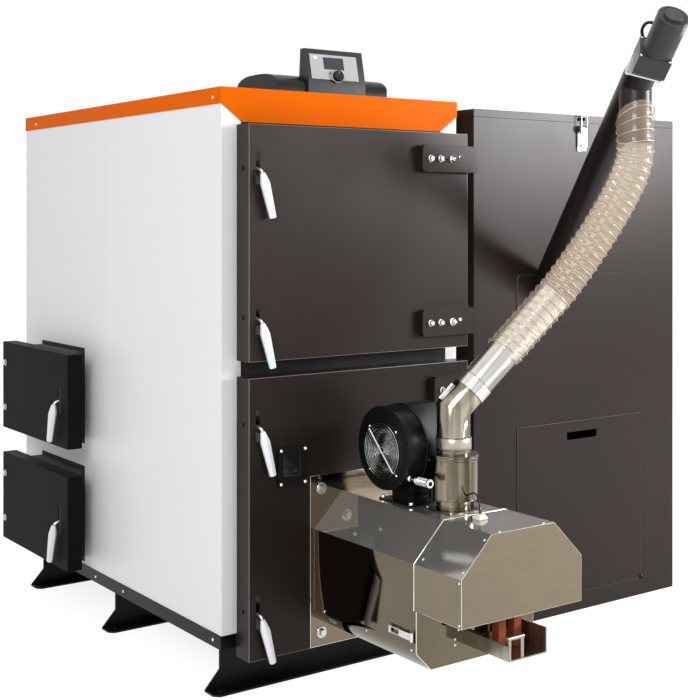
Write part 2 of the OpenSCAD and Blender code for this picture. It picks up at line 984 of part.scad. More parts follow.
// Rear connections
module flue_outlet() {
  color("#4a4643") corner() along_y(casing_w / 2, exch_y1 + fire_t, flue_z)
    difference() {
      union() {
        cylinder(r = flue_d / 2, h = casing_d + flue_len - exch_y1 - fire_t);
        translate([0, 0, casing_d - panel_x - exch_y1 - fire_t])
          cylinder(r = flue_d / 2 + flue_collar, h = panel_x);
      }
      translate([0, 0, -cut])
        cylinder(r = flue_d / 2 - flue_t, h = casing_d + flue_len - exch_y1 + cut);
    }
}

module water_sockets() {
  color("#55575a") corner() for (p = socket_places())
    along_y(p[0], jacket_y1, p[1])
      ring(socket_bore_d / 2 + socket_wall, socket_bore_d / 2, casing_d + socket_out - jacket_y1);
}

// Hinges of the front doors. Each leaf turns on a pin that its bracket holds.
// The lower door's leaves end beside the burner's flange and have one bolt less.
function short_leaf() = hinge_x + leaf_over - burner_x - flange_w / 2 - leaf_clear;
function leaf_places() = [
  [low_z0 + leaf_in, low_z0, short_leaf(), 1],
  [low_z1 - leaf_in - leaf_h, low_z0, short_leaf(), 1],
  [up_z0 + leaf_in, up_z0, leaf_w, 2], [up_z1 - leaf_in - leaf_h, up_z0, leaf_w, 2]];

module front_bracket(z) {
  third = leaf_h / 3;
  for (h = [0, 2 * third]) {
    translate([hinge_x, -hinge_y, z + h]) cylinder(r = knuckle_r, h = third - seat);
    box(hinge_x - bracket_t / 2, hinge_x + bracket_t / 2, -hinge_y, -bracket_back, z + h,
      z + h + third - seat);
  }
  box(casing_w - wrap_t, hinge_x + bracket_t / 2, -bracket_back - bracket_t, -bracket_back, z,
    z + leaf_h - seat);
  translate([hinge_x, -hinge_y, z]) cylinder(r = pin_r, h = leaf_h);
  translate([hinge_x, -hinge_y, z + leaf_h - seat]) cylinder(r = pin_head_r, h = pin_head_t);
}

module side_bracket(z) {
  third = side_leaf_h / 3;
  for (h = [0, 2 * third]) {
    translate([-side_hinge_x, side_hinge_y, z + h]) cylinder(r = side_knuckle_r, h = third - seat);
    box(-side_hinge_x, side_bracket_t - side_bracket_x, side_hinge_y - side_arm_t / 2,
      side_hinge_y + side_arm_t / 2, z + h, z + h + third - seat);
  }
  box(-side_bracket_x, side_bracket_t - side_bracket_x, neck_y1,
    side_hinge_y + side_arm_t / 2, z, z + side_leaf_h - seat);
  translate([-side_hinge_x, side_hinge_y, z]) cylinder(r = side_pin_r, h = side_leaf_h);
}

module hinge_brackets() {
  color("#2a2827") corner() {
    for (p = leaf_places()) front_bracket(p[0]);
    for (z = [side_z0, side_z1]) side_bracket(z + (side_door_h - side_leaf_h) / 2);
  }
}

module hinge_leaf(z, w, bolts) {
  third = leaf_h / 3;
  face = door_front + leaf_off;
  x1 = hinge_x + leaf_over;
  color("#2a2827") difference() {
    union() {
      box(x1 - w, x1, -face, leaf_t - face, z, z + leaf_h);
      for (h = [0, leaf_h - leaf_t])
        box(x1 - w, casing_w - door_side, leaf_t - face, -door_front, z + h, z + h + leaf_t);
      box(x1 - w, x1 - w + leaf_t, leaf_t - face, -door_front, z, z + leaf_h);
      box(x1 - 2 * leaf_over, x1, leaf_t - face, -hinge_y, z + third, z + 2 * third - seat);
      translate([hinge_x, -hinge_y, z + third]) cylinder(r = knuckle_r, h = third - seat);
    }
    translate([hinge_x, -hinge_y, z + third - cut]) cylinder(r = pin_r + fit, h = third + 2 * cut);
  }
  color("#a5a8ab") {
    for (i = [0 : bolts - 1])
      translate([x1 - w + leaf_bolt_in + i * leaf_bolt_pitch, 0, 0]) {
        head_front(0, face, z + leaf_h / 2, washer_r, washer_t);
        hex_front(0, face + washer_t, z + leaf_h / 2, hex_r, hex_h);
      }
    head_front(x1 - adjust_in, face, z + leaf_h / 2, washer_r, washer_t);
    hex_front(x1 - adjust_in, face + washer_t, z + leaf_h / 2, hex_r, 2 * hex_h);
    head_front(x1 - adjust_in, face + washer_t + 2 * hex_h, z + leaf_h / 2, pin_r, hex_h);
  }
}

module upper_hinge_leaves() {
  corner() for (p = leaf_places()) if (p[1] == up_z0) hinge_leaf(p[0], p[2], p[3]);
}

module lower_hinge_leaves() {
  corner() for (p = leaf_places()) if (p[1] == low_z0) hinge_leaf(p[0], p[2], p[3]);
}

// Handles. The pivot lies along X at the origin and the rod points along -Y.
module handle(lean) {
  color("#2b2b2d") difference() {
    union() {
      translate([-hub_left, 0, 0]) rotate([0, 90, 0]) cylinder(r = hub_r, h = hub_left + hub_right);
      rotate([90, 0, 0]) cylinder(d = rod_d, h = rod_out);
      translate([0, -rod_out, 0]) sphere(d = rod_d);
      translate([0, -rod_out, 0]) rotate([0, 180 - lean, 0]) cylinder(d = rod_d, h = rod_drop);
      box(-arm_x, arm_t - arm_x, 0, arm_l, -arm_h / 2, arm_h / 2);
    }
    translate([-hub_left - cut, 0, 0]) rotate([0, 90, 0])
      cylinder(r = pivot_r + fit, h = hub_left + hub_right + 2 * cut);
  }
  color("#f2f3f5") translate([0, -rod_out, 0]) rotate([0, 180 - lean, 0])
    translate([0, 0, rod_drop]) {
      cylinder(r1 = grip_neck_r, r2 = grip_d / 2, h = grip_l * grip_shoulder_share, $fn = 6);
      translate([0, 0, grip_l * grip_shoulder_share])
        cylinder(r1 = grip_d / 2, r2 = grip_d / 2 * grip_end_share,
          h = grip_l * (1 - grip_shoulder_share), $fn = 6);
    }
}

module front_handle(z) {
  corner() translate([handle_x, -pivot_y, z]) handle(grip_lean);
}

module side_handle(z) {
  corner() translate([-side_pivot_x, side_pivot_y, z + side_door_h / 2])
    rotate([0, 0, -90]) handle(-grip_lean);
}

module upper_top_handle() {
  front_handle(up_z1 - up_slot_in);
}

module upper_bottom_handle() {
  front_handle(up_z0 + up_slot_in);
}

module lower_top_handle() {
  front_handle(low_z1 - low_slot_in);
}

module lower_bottom_handle() {
  front_handle(low_z0 + low_slot_in);
}

module upper_side_handle() {
  side_handle(side_z1);
}

module lower_side_handle() {
  side_handle(side_z0);
}

// Front doors
module door_shell(z0, z1, slot_in) {
  x1 = casing_w - door_side;
  difference() {
    box(door_side, x1, -door_front, -door_back, z0, z1);
    box(door_side + door_sheet, x1 - door_sheet, door_sheet - door_front, cut - door_back,
      z0 + door_sheet, z1 - door_sheet);
    for (z = [z0 + slot_in, z1 - slot_in])
      box(handle_x - slot_w / 2, handle_x + slot_w / 2, -door_front - cut,
        door_sheet - door_front + cut, z - slot_h / 2, z + slot_h / 2);
  }
  for (z = [z0 + slot_in, z1 - slot_in]) {
    along_x(door_side - head_t, -pivot_y, z) cylinder(r = head_r, h = head_t);
    along_x(door_side, -pivot_y, z)
      cylinder(r = pivot_r, h = handle_in + hub_right + play + rib_t);
    box(handle_x + hub_right + play, handle_x + hub_right + play + rib_t, -door_front + door_sheet,
      hub_r - pivot_y, z - rib_h / 2, z + rib_h / 2);
  }
}

module door_lining(z0, z1) {
  x1 = casing_w - door_side - door_sheet;
  box(lining_x0, x1, door_sheet - door_front, -lining_back, z0 + door_sheet, z1 - door_sheet);
  box(mouth_x0 + plug_clear, mouth_x1 - plug_clear, -lining_back, plug_reach,
    z0 + mouth_in + plug_clear, z1 - mouth_in - plug_clear);
}

module door_rope(z0, z1) {
  color("#c9c4b8") difference() {
    box(mouth_x0 - rope_out - rope_w, mouth_x1 + rope_out + rope_w, -lining_back,
      -frame_front - seat, z0 + mouth_in - rope_out - rope_w, z1 - mouth_in + rope_out + rope_w);
    box(mouth_x0 - rope_out, mouth_x1 + rope_out, -lining_back - cut, cut - frame_front,
      z0 + mouth_in - rope_out, z1 - mouth_in + rope_out);
  }
}

module upper_door_shell() {
  color("#3b302d") corner() door_shell(up_z0, up_z1, up_slot_in);
}

module upper_door_lining() {
  color("#a39c90") corner() door_lining(up_z0, up_z1);
  corner() door_rope(up_z0, up_z1);
}

// Ways through the lower door for the sight port and the combustion tube.
module low_door_ways(y0, y1) {
  box(port_x0 + window_in, port_x0 + window_in + window_w, y0, y1,
    port_z0 + window_up, port_z0 + window_up + window_h);
  along_y(burner_x, y0, tube_z) cylinder(r = fire_tube_d / 2 + tube_clear, h = y1 - y0);
}

module lower_door_shell() {
  color("#3b302d") corner() difference() {
    door_shell(low_z0, low_z1, low_slot_in);
    low_door_ways(-door_front - cut, door_sheet - door_front + cut);
  }
}

module lower_door_lining() {
  color("#a39c90") corner() difference() {
    door_lining(low_z0, low_z1);
    low_door_ways(-door_front, plug_reach + cut);
  }
  corner() door_rope(low_z0, low_z1);
}

module sight_port() {
  wx = port_x0 + window_in;
  wz = port_z0 + window_up;
  corner() {
    color("#26221f") difference() {
      box(port_x0, port_x0 + port_w, -door_front - port_t, -door_front, port_z0,
        port_z0 + port_h);
      box(wx, wx + window_w, -door_front - port_t - cut, cut - door_front, wz, wz + window_h);
      box(wx - glass_lap, wx + window_w + glass_lap, -door_front - glass_t, cut - door_front,
        wz - glass_lap, wz + window_h + glass_lap);
    }
    color("#4a4440") box(wx - glass_lap, wx + window_w + glass_lap, -door_front - glass_t,
      -door_front, wz - glass_lap, wz + window_h + glass_lap);
  }
}

// Side cleaning doors
module side_door(z0) {
  z1 = z0 + side_door_h;
  zp = z0 + side_door_h / 2;
  x_out = -side_back - side_door_t;
  zl = zp - side_leaf_h / 2;
  third = side_leaf_h / 3;
  corner() {
    color("#191617") {
      difference() {
        box(x_out, -side_back, side_y0, side_y1, z0, z1);
        box(x_out + door_sheet, cut - side_back, side_y0 + door_sheet, side_y1 - door_sheet,
          z0 + door_sheet, z1 - door_sheet);
        box(x_out - cut, x_out + door_sheet + cut, side_pivot_y - slot_w / 2,
          side_pivot_y + slot_w / 2, zp - slot_h / 2, zp + slot_h / 2);
      }
      along_y(-side_pivot_x, side_y0 - head_t, zp) cylinder(r = head_r, h = head_t);
      along_y(-side_pivot_x, side_y0, zp)
        cylinder(r = pivot_r, h = side_slot_in + hub_left + play + rib_t);
      box(x_out + door_sheet, hub_r - side_pivot_x, side_pivot_y + hub_left + play,
        side_pivot_y + hub_left + play + rib_t, zp - rib_h / 2, zp + rib_h / 2);
      difference() {
        union() {
          box(-side_hinge_x - door_sheet, door_sheet - side_hinge_x, side_y1, side_hinge_y,
            zl + third, zl + 2 * third - seat);
          translate([-side_hinge_x, side_hinge_y, zl + third])
            cylinder(r = side_knuckle_r, h = third - seat);
        }
        translate([-side_hinge_x, side_hinge_y, zl + third - cut])
          cylinder(r = side_pin_r + fit, h = third + 2 * cut);
      }
    }
    color("#8a8c90") for (z = [z0 + side_bolt_up, z1 - side_bolt_up])
      along_x(x_out - hex_h, side_y1 - side_bolt_in, z) cylinder(r = hex_r, h = hex_h, $fn = 6);
    color("#c9c4b8") difference() {
      box(x_out + door_sheet, -side_back, neck_y0 - side_seal_t, side_y1 - door_sheet,
        z0 + door_sheet, z1 - door_sheet);
      box(-side_back - side_seal_t, cut - side_back, neck_y0 + fire_t + side_seal_t,
        neck_y1 - fire_t - side_seal_t, z0 + neck_inset + fire_t + side_seal_t,
        z1 - neck_inset - fire_t - side_seal_t);
    }
  }
}

module upper_side_door() {
  side_door(side_z1);
}

module lower_side_door() {
  side_door(side_z0);
}

// Burner
function cut_in(c, inset) = c - inset * (2 - sqrt(2));

module burner_section(inset) {
  w = burner_w / 2 - inset;
  z0 = burner_z0 + inset;
  z1 = burner_z1 - inset;
  t = cut_in(burner_top_cut, inset);
  b = cut_in(burner_low_cut, inset);
  polygon([
    [burner_x - w, z0 + b], [burner_x - w, z1 - t], [burner_x - w + t, z1],
    [burner_x + w - t, z1], [burner_x + w, z1 - t], [burner_x + w, z0 + b],
    [burner_x + w - b, z0], [burner_x - w + b, z0]]);
}

// Extrudes an outline in X and Z from the plane y0 forward to the plane y1.
module forward(y0, y1) {
  translate([0, -y0, 0]) rotate([90, 0, 0]) linear_extrude(y1 - y0) children();
}

module burner_flange() {
  color("#b9b3a8") corner() difference() {
    box(burner_x - flange_w / 2, burner_x + flange_w / 2, -flange_y, -door_front,
      flange_z0, flange_z0 + flange_h);
    along_y(burner_x, -flange_y - cut, tube_z)
      cylinder(r = fire_tube_d / 2 + fit, h = flange_t + 2 * cut);
  }
}

module burner_casing() {
  x0 = burner_x - burner_w / 2;
  zl = burner_z0 + latch_up;
  corner() {
    color("#c2bdb2") difference() {
      forward(flange_y, casing_y) burner_section(0);
      forward(flange_y - cut, casing_y - burner_t) burner_section(burner_t);
      translate([burner_x, -feed_y, burner_z1 - burner_t - cut])
        cylinder(r = pipe_d / 2 - pipe_t, h = burner_t + 2 * cut);
      box(fan_x1 + fan_wall, scroll_x1 - fan_wall, fan_wall - fan_neck_y1,
        -fan_neck_y0 - fan_wall, burner_z1 - burner_t - cut, burner_z1 + cut);
    }
    color("#9b9c9e") {
      box(x0 - latch_plate_t, x0 + burner_t / 2, -casing_y + latch_gap,
        latch_l + latch_gap - casing_y, zl, zl + latch_w);
      for (z = [zl - latch_ear_t, zl + latch_w])
        box(x0 - latch_front, x0, -casing_y + latch_gap, 2 * latch_knuckle_r + latch_gap - casing_y,
          z, z + latch_ear_t);
      translate([x0 - latch_front + latch_pin_r, -casing_y + latch_gap + latch_knuckle_r, zl - latch_ear_t])
        cylinder(r = latch_pin_r, h = latch_w + 2 * latch_ear_t);
    }
  }
}

module burner_latch() {
  x0 = burner_x - burner_w / 2;
  zl = burner_z0 + latch_up;
  px = x0 - latch_front + latch_pin_r;
  py = -casing_y + latch_gap + latch_knuckle_r;
  color("#b4b6b8") corner() difference() {
    union() {
      translate([px, py, zl + seat]) cylinder(r = latch_knuckle_r - play, h = latch_w - 2 * seat);
      box(px - latch_t / 2, px + latch_t / 2, py, py + latch_l - 2 * latch_knuckle_r,
        zl + seat, zl + latch_w - seat);
    }
    translate([px, py, zl - cut]) cylinder(r = latch_pin_r + fit, h = latch_w + 2 * cut);
  }
}

module burner_hood() {
  color("#c6c1b5") corner() difference() {
    forward(casing_y - hood_lap, hood_y) burner_section(-seat - hood_t);
    forward(casing_y - hood_lap - cut, hood_y - hood_t) burner_section(-seat);
    box(burner_x - burner_w, burner_x + burner_w, -hood_y - cut, 0, 0,
      burner_z1 - hood_drop);
  }
}

module stud(x, y, z) {
  head_front(x, y, z, big_washer_r, washer_t);
  hex_front(x, y + washer_t, z, big_head_r, big_head_h);
}

module burner_bolts() {
  w = burner_w / 2;
  zt = burner_z1 + seat + hood_t;
  xs = burner_x - w - seat - hood_t;
  color("#b4b6b8") corner() {
    for (x = [burner_x - flange_w / 2 + flange_bolt_in, burner_x + flange_w / 2 - flange_bolt_in])
      for (z = [flange_z0 + flange_bolt_in, flange_z0 + flange_h - flange_bolt_in])
        stud(x, flange_y, z);
    for (x = [burner_x - w * hood_screw_share, burner_x + w * hood_screw_share])
      translate([x, small_edge - hood_y, zt]) cylinder(r = small_head_r, h = small_head_h);
    for (z = [burner_z1 - hood_drop + small_edge, burner_z1 - burner_top_cut - small_edge])
      along_x(xs - small_head_h, small_edge - hood_y, z)
        cylinder(r = small_head_r, h = small_head_h);
    for (y = side_screw_shares)
      along_x(burner_x - w - small_head_h, -flange_y - burner_l * y, burner_z0 + side_screw_up + small_edge)
        cylinder(r = small_head_r, h = small_head_h);
    for (y = [fan_base_y0 + small_edge, fan_base_y1 - small_edge])
      for (x = [fan_base_x0 + small_edge, fan_base_x1 - small_edge])
        translate([x, -y, burner_z1 + fan_base_t]) cylinder(r = small_head_r, h = small_head_h);
    for (y = [feed_y - feed_plate_d / 2 + small_edge, feed_y + feed_plate_d / 2 - small_edge])
      for (x = [-1, 1])
        translate([burner_x + x * (feed_plate_w / 2 - small_edge), -y, burner_z1 + feed_plate_t])
          cylinder(r = small_head_r, h = small_head_h);
    for (p = front_screw_shares)
      head_front(burner_x + w * p[0], casing_y, burner_z0 + burner_h * p[1], small_head_r,
        small_head_h);
  }
}

module combustion_tube() {
  top = burner_z1 - burner_t - seat;
  y1 = fire_tube_reach - door_back;
  color("#6b6460") corner() difference() {
    union() {
      along_y(burner_x, fire_tube_front - casing_y, tube_z)
        cylinder(d = fire_tube_d, h = y1 + casing_y - fire_tube_front);
      translate([burner_x, -feed_y, tube_z]) cylinder(d = pipe_d, h = top - tube_z);
    }
    along_y(burner_x, fire_tube_front - casing_y - cut, tube_z)
      cylinder(r = fire_tube_d / 2 - fire_tube_t, h = y1 + casing_y - fire_tube_front + 2 * cut);
    translate([burner_x, -feed_y, tube_z])
      cylinder(r = pipe_d / 2 - pipe_t, h = top - tube_z + cut);
  }
}

// Igniter bracket under the hood
module igniter_unit() {
  z0 = burner_z0 + tray_up;
  x1 = tray_x0 + tray_w;
  y1 = -casing_y;
  y0 = -casing_y - tray_l;
  color("#b9b6ae") corner() {
    box(tray_x0, x1, y0, y1, z0, z0 + tray_t);
    box(tray_x0, tray_x0 + tray_t, y0, y1, z0, z0 + tray_wall);
    box(x1 - tray_t, x1, y0, y1, z0, z0 + upright_h);
    box(tray_x0, x1, y1 - tray_t, y1, z0, z0 + tray_wall);
    for (x = [tray_x0 + strap_r, tray_x0 + strap_w])
      translate([x + tray_t, y0 + 2 * strap_r, z0 + tray_t]) cylinder(r = strap_r, h = strap_z);
    along_x(tray_x0 + tray_t, y0 + 2 * strap_r, z0 + tray_t + strap_z)
      cylinder(r = strap_r, h = strap_w + strap_r);
  }
  color("#8a4520") corner() for (i = [0, 1])
    translate([tray_x0 + block_off + i * (block_w + block_gap), y0 + 2 * tray_wall, z0 + tray_t])
      cube([block_w, block_w, block_h]);
}

module burner_leads() {
  zl = burner_z0 + lead_up;
  yl = -casing_y - lead_r - seat;
  px = burner_x - plug_off;
  plug_run = norm([plug_off, plug_y - feed_y]) - drum_d / 2 - seat;
  color("#151515") corner() {
    cord([for (p = igniter_route) [burner_x + p[0], yl + p[1], zl + p[2]]], [0, 1, 0], lead_r);
    translate([px, -plug_y, burner_z1 + seat + hood_t + plug_h])
      rotate([0, 0, atan2(plug_y - feed_y, plug_off)])
        cord(concat(plug_route, [[plug_run, 0, plug_end]]), [0, 1, 0], plug_lead_r);
  }
  color("#efeadf") corner()
    box(px - plug_w / 2, px + plug_w / 2, -plug_y - plug_w / 2, -plug_y + plug_w / 2,
      burner_z1 + seat + hood_t, burner_z1 + seat + hood_t + plug_h);
}

// Fan. The scroll's front is cut straight beside the feed drum and slants above it.
module scroll_body(inset, x0, x1) {
  front = inset - scroll_front;
  intersection() {
    along_x(x0, -fan_y, fan_z) cylinder(r = scroll_d / 2 - inset, h = x1 - x0);
    translate([x0, 0, 0]) rotate([90, 0, 90]) linear_extrude(x1 - x0) polygon([
      [front, burner_z1], [front, collar_z], [front + scroll_slant, fan_z + scroll_d / 2],
      [0, fan_z + scroll_d / 2], [0, burner_z1]]);
  }
}

module blower_scroll() {
  color("#141416") corner() difference() {
    union() {
      along_x(fan_x0, -fan_y, fan_z) cylinder(d = fan_d, h = fan_l);
      scroll_body(0, fan_x1, scroll_x1);
      box(fan_x1, scroll_x1, -fan_neck_y1, -fan_neck_y0, burner_z1, fan_z);
      box(fan_base_x0, fan_base_x1, -fan_base_y1, -fan_base_y0, burner_z1, burner_z1 + fan_base_t);
      for (s = fan_lip_shares)
        box(fan_x1 - fan_lip, scroll_x1, -fan_neck_y1 - fan_lip, -fan_neck_y0,
          burner_z1 + (fan_z - burner_z1) * s, burner_z1 + (fan_z - burner_z1) * s + fan_lip_t);
    }
    along_x(fan_x0 + fan_face, -fan_y, fan_z) cylinder(r = fan_d / 2 - fan_wall, h = fan_l - fan_face + cut);
    scroll_body(fan_wall, fan_x1, scroll_x1 - fan_wall);
    box(fan_x1 + fan_wall, scroll_x1 - fan_wall, fan_wall - fan_neck_y1,
      -fan_neck_y0 - fan_wall, burner_z1 - cut, fan_z);
    along_x(fan_x0 - cut, -fan_y, fan_axis_z) cylinder(d = inlet_d, h = fan_face + 2 * cut);
    along_x(scroll_x1 - fan_wall - cut, -fan_y, fan_axis_z)
      cylinder(r = fan_shaft_r + play, h = fan_wall + 2 * cut);
  }
  color("#a9abae") corner() {
    translate([fan_x0 + sensor_in, -sensor_y, fan_z - sensor_low_share * fan_d / 2])
      rotate([90, 0, 0]) {
        cylinder(r = sensor_neck_r, h = sensor_neck_l);
        translate([0, 0, sensor_neck_l]) cylinder(r = sensor_r, h = sensor_l);
      }
  }
}

module blower_guard() {
  w = 2 * wire_r;
  color("#b8babd") corner() along_x(fan_x0 - guard_off, -fan_y, fan_axis_z) {
    for (i = [0 : guard_n - 1])
      ring(guard_d / 2 - i * guard_step, guard_d / 2 - i * guard_step - w, wire_r);
    for (a = [0, 90]) rotate([0, 0, a + 45]) translate([-guard_d / 2 + wire_r, -wire_r, wire_r / 2])
      cube([guard_d - w, w, w]);
    for (a = [0 : 90 : 270]) rotate([0, 0, a + 45]) translate([guard_d / 2 - 2 * w, -wire_r, wire_r])
      cube([w, w, guard_off - wire_r]);
  }
}

module blower_motor() {
  color("#19191b") corner() along_x(scroll_x1, -fan_y, fan_axis_z) difference() {
    cylinder(d = fan_motor_d, h = fan_motor_l);
    translate([0, 0, -cut]) cylinder(r = fan_shaft_r + fit, h = fan_motor_l - fan_wall + cut);
  }
}

module blower_impeller() {
  x0 = fan_x0 + impeller_gap;
  x1 = scroll_x1 - impeller_end;
  color("#c4c6c8") corner() along_x(x0, -fan_y, fan_axis_z) {
    translate([0, 0, x1 - x0 - impeller_plate]) cylinder(d = impeller_d, h = impeller_plate);
    ring(impeller_d / 2, impeller_d / 2 - impeller_ring, impeller_plate);
    for (i = [0 : blade_n - 1]) rotate([0, 0, 360 * i / blade_n])
      translate([impeller_d / 2 - impeller_ring, -blade_t / 2, impeller_plate - thin])
        cube([impeller_ring - blade_t, blade_t, x1 - x0 - 2 * impeller_plate + 2 * thin]);
    cylinder(r = fan_shaft_r, h = fan_shaft_l);
    cylinder(r = 3 * fan_shaft_r, h = x1 - x0);
  }
}

// Feed inlet, elbow and hose. The elbow's frame has its bend toward local +X.
module feed_inlet() {
  color("#c9c4ba") corner() difference() {
    union() {
      translate([burner_x - feed_plate_w / 2, -feed_y - feed_plate_d / 2, burner_z1])
        cube([feed_plate_w, feed_plate_d, feed_plate_t]);
      translate([burner_x, -feed_y, burner_z1]) cylinder(d = pipe_d, h = collar_z - burner_z1);
      translate([burner_x, -feed_y, drum_z]) cylinder(d = drum_d, h = drum_h);
      translate([burner_x, -feed_y, neck_z - drum_rim_h])
        cylinder(r = drum_d / 2 + drum_rim, h = drum_rim_h);
    }
    translate([burner_x, -feed_y, burner_z1 - cut])
      cylinder(r = pipe_d / 2 - pipe_t, h = collar_z - burner_z1 + 2 * cut);
  }
}

module pipe_frame() {
  corner() translate([burner_x, -feed_y, elbow_z]) rotate([0, 0, -elbow_az]) children();
}

// Two straight pipes that meet at the bend's middle plane.
module mitred(r, down, up, extra) {
  reach = 3 * pipe_d;
  difference() {
    translate([0, 0, -down - extra]) cylinder(r = r, h = down + extra + pipe_d);
    rotate([0, pipe_bend / 2, 0]) translate([-reach, -reach, 0]) cube([2 * reach, 2 * reach, reach]);
  }
  difference() {
    rotate([0, pipe_bend, 0]) translate([0, 0, -pipe_d]) cylinder(r = r, h = up + pipe_d + extra);
    rotate([0, pipe_bend / 2, 0]) translate([-reach, -reach, -reach])
      cube([2 * reach, 2 * reach, reach]);
  }
}

module feed_elbow() {
  down = elbow_z - collar_z;
  up = hose_l0 + over_pipe;
  color("#c4bfb4") pipe_frame() difference() {
    union() {
      mitred(pipe_d / 2, down, up, 0);
      translate([0, 0, -down]) cylinder(r = pipe_d / 2 + collar_t, h = collar_h);
      rotate([0, pipe_bend, 0]) translate([0, 0, ring_l0]) cylinder(r = pipe_d / 2 + ring_t, h = ring_l);
      rotate([0, pipe_bend, 0]) translate([clamp_sink - pipe_d / 2 - clamp_r, 0, -clamp_low])
        cylinder(r = clamp_r, h = clamp_l);
    }
    mitred(pipe_d / 2 - pipe_t, down, up, cut);
  }
}

// The hose's centre line in the elbow's frame: straight, curved, straight.
function pipe_dir() = [sin(pipe_bend), 0, cos(pipe_bend)];
function hose_a() = hose_l0 * pipe_dir();
function hose_b() = (hose_l0 + hose_start) * pipe_dir();
function hose_d() = [spout_run(), 0, hose_top_z() - elbow_z];
function hose_c() = hose_d() - [0, 0, hose_end];
function bezier(t) =
  let (p = hose_b(), q = p + hose_k1 * pipe_dir(), s = hose_c(), r = s - [0, 0, hose_k2])
  pow(1 - t, 3) * p + 3 * pow(1 - t, 2) * t * q + 3 * (1 - t) * t * t * r + pow(t, 3) * s;
function curve_table() = [
  for (i = 0, l = 0; i <= curve_n; l = l + norm(bezier((i + 1) / curve_n) - bezier(i / curve_n)),
    i = i + 1) [l, i / curve_n]];
function hose_point(s, table) =
  let (l = table[curve_n][0])
  s < hose_start ? hose_a() + s * pipe_dir()
  : s < hose_start + l ? bezier(lookup(s - hose_start, table))
  : hose_c() + [0, 0, s - hose_start - l];
function spout_run() = norm([casing_w + spout_x - burner_x, spout_y - feed_y]);
function hose_top_z() = casing_h + spout_z - spout_top_gap;

// Leans a ring of the hose to the slope of the auger tube above it, near the top end.
function leaned(ring, c, s, total) =
  let (w = max(0, 1 - (total - s) / hose_end),
    back = [sin(auger_turn - elbow_az), cos(auger_turn - elbow_az), 0])
  [for (p = ring) p - [0, 0, hose_tilt_share * w * ((p - c) * back)]];
function hose_ring(i, step, total, r, table) =
  let (c = hose_point(i * step, table),
    t = hose_point((i + 1) * step, table) - hose_point(max(i - 1, 0) * step, table))
  leaned(loop_at(c, unit(t), [0, 1, 0], r, hose_sides), c, i * step, total);

module feed_hose() {
  table = curve_table();
  total = hose_start + table[curve_n][0] + hose_end;
  ribs = floor(total / rib_pitch);
  step = total / ribs / 2;
  outer = [for (i = [0 : 2 * ribs])
    hose_ring(i, step, total, i % 2 == 1 ? rib_d / 2 : rib_root_r, table)];
  inner = [for (i = [2 * ribs : -2 : 0]) hose_ring(i, step, total, hose_bore_r, table)];
  color("#c9a58a") pipe_frame() swept(concat(outer, inner), true);
}

// Auger. The frame's +Z runs up the tube from the point above the spout.
module auger_frame() {
  corner() translate([casing_w + spout_x, -spout_y, casing_h + spout_z])
    rotate([90 - auger_slope, 0, -auger_turn]) children();
}

module spout_frame() {
  corner() translate([casing_w + spout_x, -spout_y, casing_h + spout_z]) children();
}

module auger_tube() {
  r = pipe_d / 2;
  color("#241d1b") difference() {
    union() {
      auger_frame() translate([0, 0, -tube_down]) cylinder(r = r, h = tube_down + tube_top);
      spout_frame() translate([0, 0, -spout_l]) cylinder(r = r, h = spout_l);
      auger_frame() translate([0, 0, -tube_down - bearing_t]) cylinder(r = r, h = bearing_t);
    }
    auger_frame() translate([0, 0, -tube_down])
      cylinder(r = r - pipe_t, h = tube_down + tube_top + cut);
    spout_frame() translate([0, 0, -spout_l - cut]) cylinder(r = r - pipe_t, h = spout_l + cut);
    auger_frame() translate([0, 0, -tube_down - bearing_t - cut])
      cylinder(r = shaft_r + fit, h = bearing_t + 2 * cut);
    auger_frame() translate([-intake_w / 2, 0, intake_up - tube_down])
      cube([intake_w, r + cut, intake_l]);
  }
}

module auger_gearmotor() {
  z1 = tube_top + plate_t;
  z2 = z1 + gear_l;
  auger_frame() rotate([0, 0, -gear_roll]) {
    color("#b0b1b3") difference() {
      translate([-plate_w / 2, -plate_w / 2, tube_top]) cube([plate_w, plate_w, plate_t]);
      translate([0, 0, tube_top - cut]) cylinder(r = shaft_r + fit, h = plate_t + 2 * cut);
    }
    color("#1b1b1d") {
      difference() {
        translate([gear_off - gear_w / 2, -gear_w / 2, z1]) cube([gear_w, gear_w, gear_l]);
        translate([0, 0, z1 - cut]) cylinder(r = shaft_r + fit, h = gear_bore_l + cut);
      }
      translate([motor_off, 0, z2]) cylinder(d = motor_d, h = motor_l);
      translate([motor_off, 0, z2 + motor_l]) cylinder(r = cap_r, h = cap_t);
      translate([motor_off - term_w / 2, motor_d / 2 - cap_t, z2 + cap_t])
        cube([term_w, term_h, term_l]);
    }
  }
}

module motor_lead() {
  z2 = tube_top + plate_t + gear_l;
  color("#111112") auger_frame() rotate([0, 0, -gear_roll])
    translate([motor_off - term_w / 2 - seat, gear_w / 2 + motor_lead_r + seat, z2])
      cord(motor_route, [0, 1, 0], motor_lead_r);
}

function screw_ring(a) =
  let (z = flight_z0() + flight_pitch * a / 360, r1 = flight_d / 2, t = flight_t / 2,
    r0 = shaft_r - flight_sink)
  [[r0 * cos(a), r0 * sin(a), z - t], [r0 * cos(a), r0 * sin(a), z + t],
    [r1 * cos(a), r1 * sin(a), z + t], [r1 * cos(a), r1 * sin(a), z - t]];
function flight_z0() = flight_foot - tube_down;

module auger_screw() {
  turns = floor((tube_down - 2 * flight_foot) / flight_pitch);
  color("#8c8f92") auger_frame() {
    swept([for (i = [0 : turns * flight_sides]) screw_ring(360 * i / flight_sides)], false);
    translate([0, 0, -tube_down - bearing_t])
      cylinder(r = shaft_r, h = tube_down + bearing_t + tube_top + plate_t + gear_bore_l - play);
  }
}

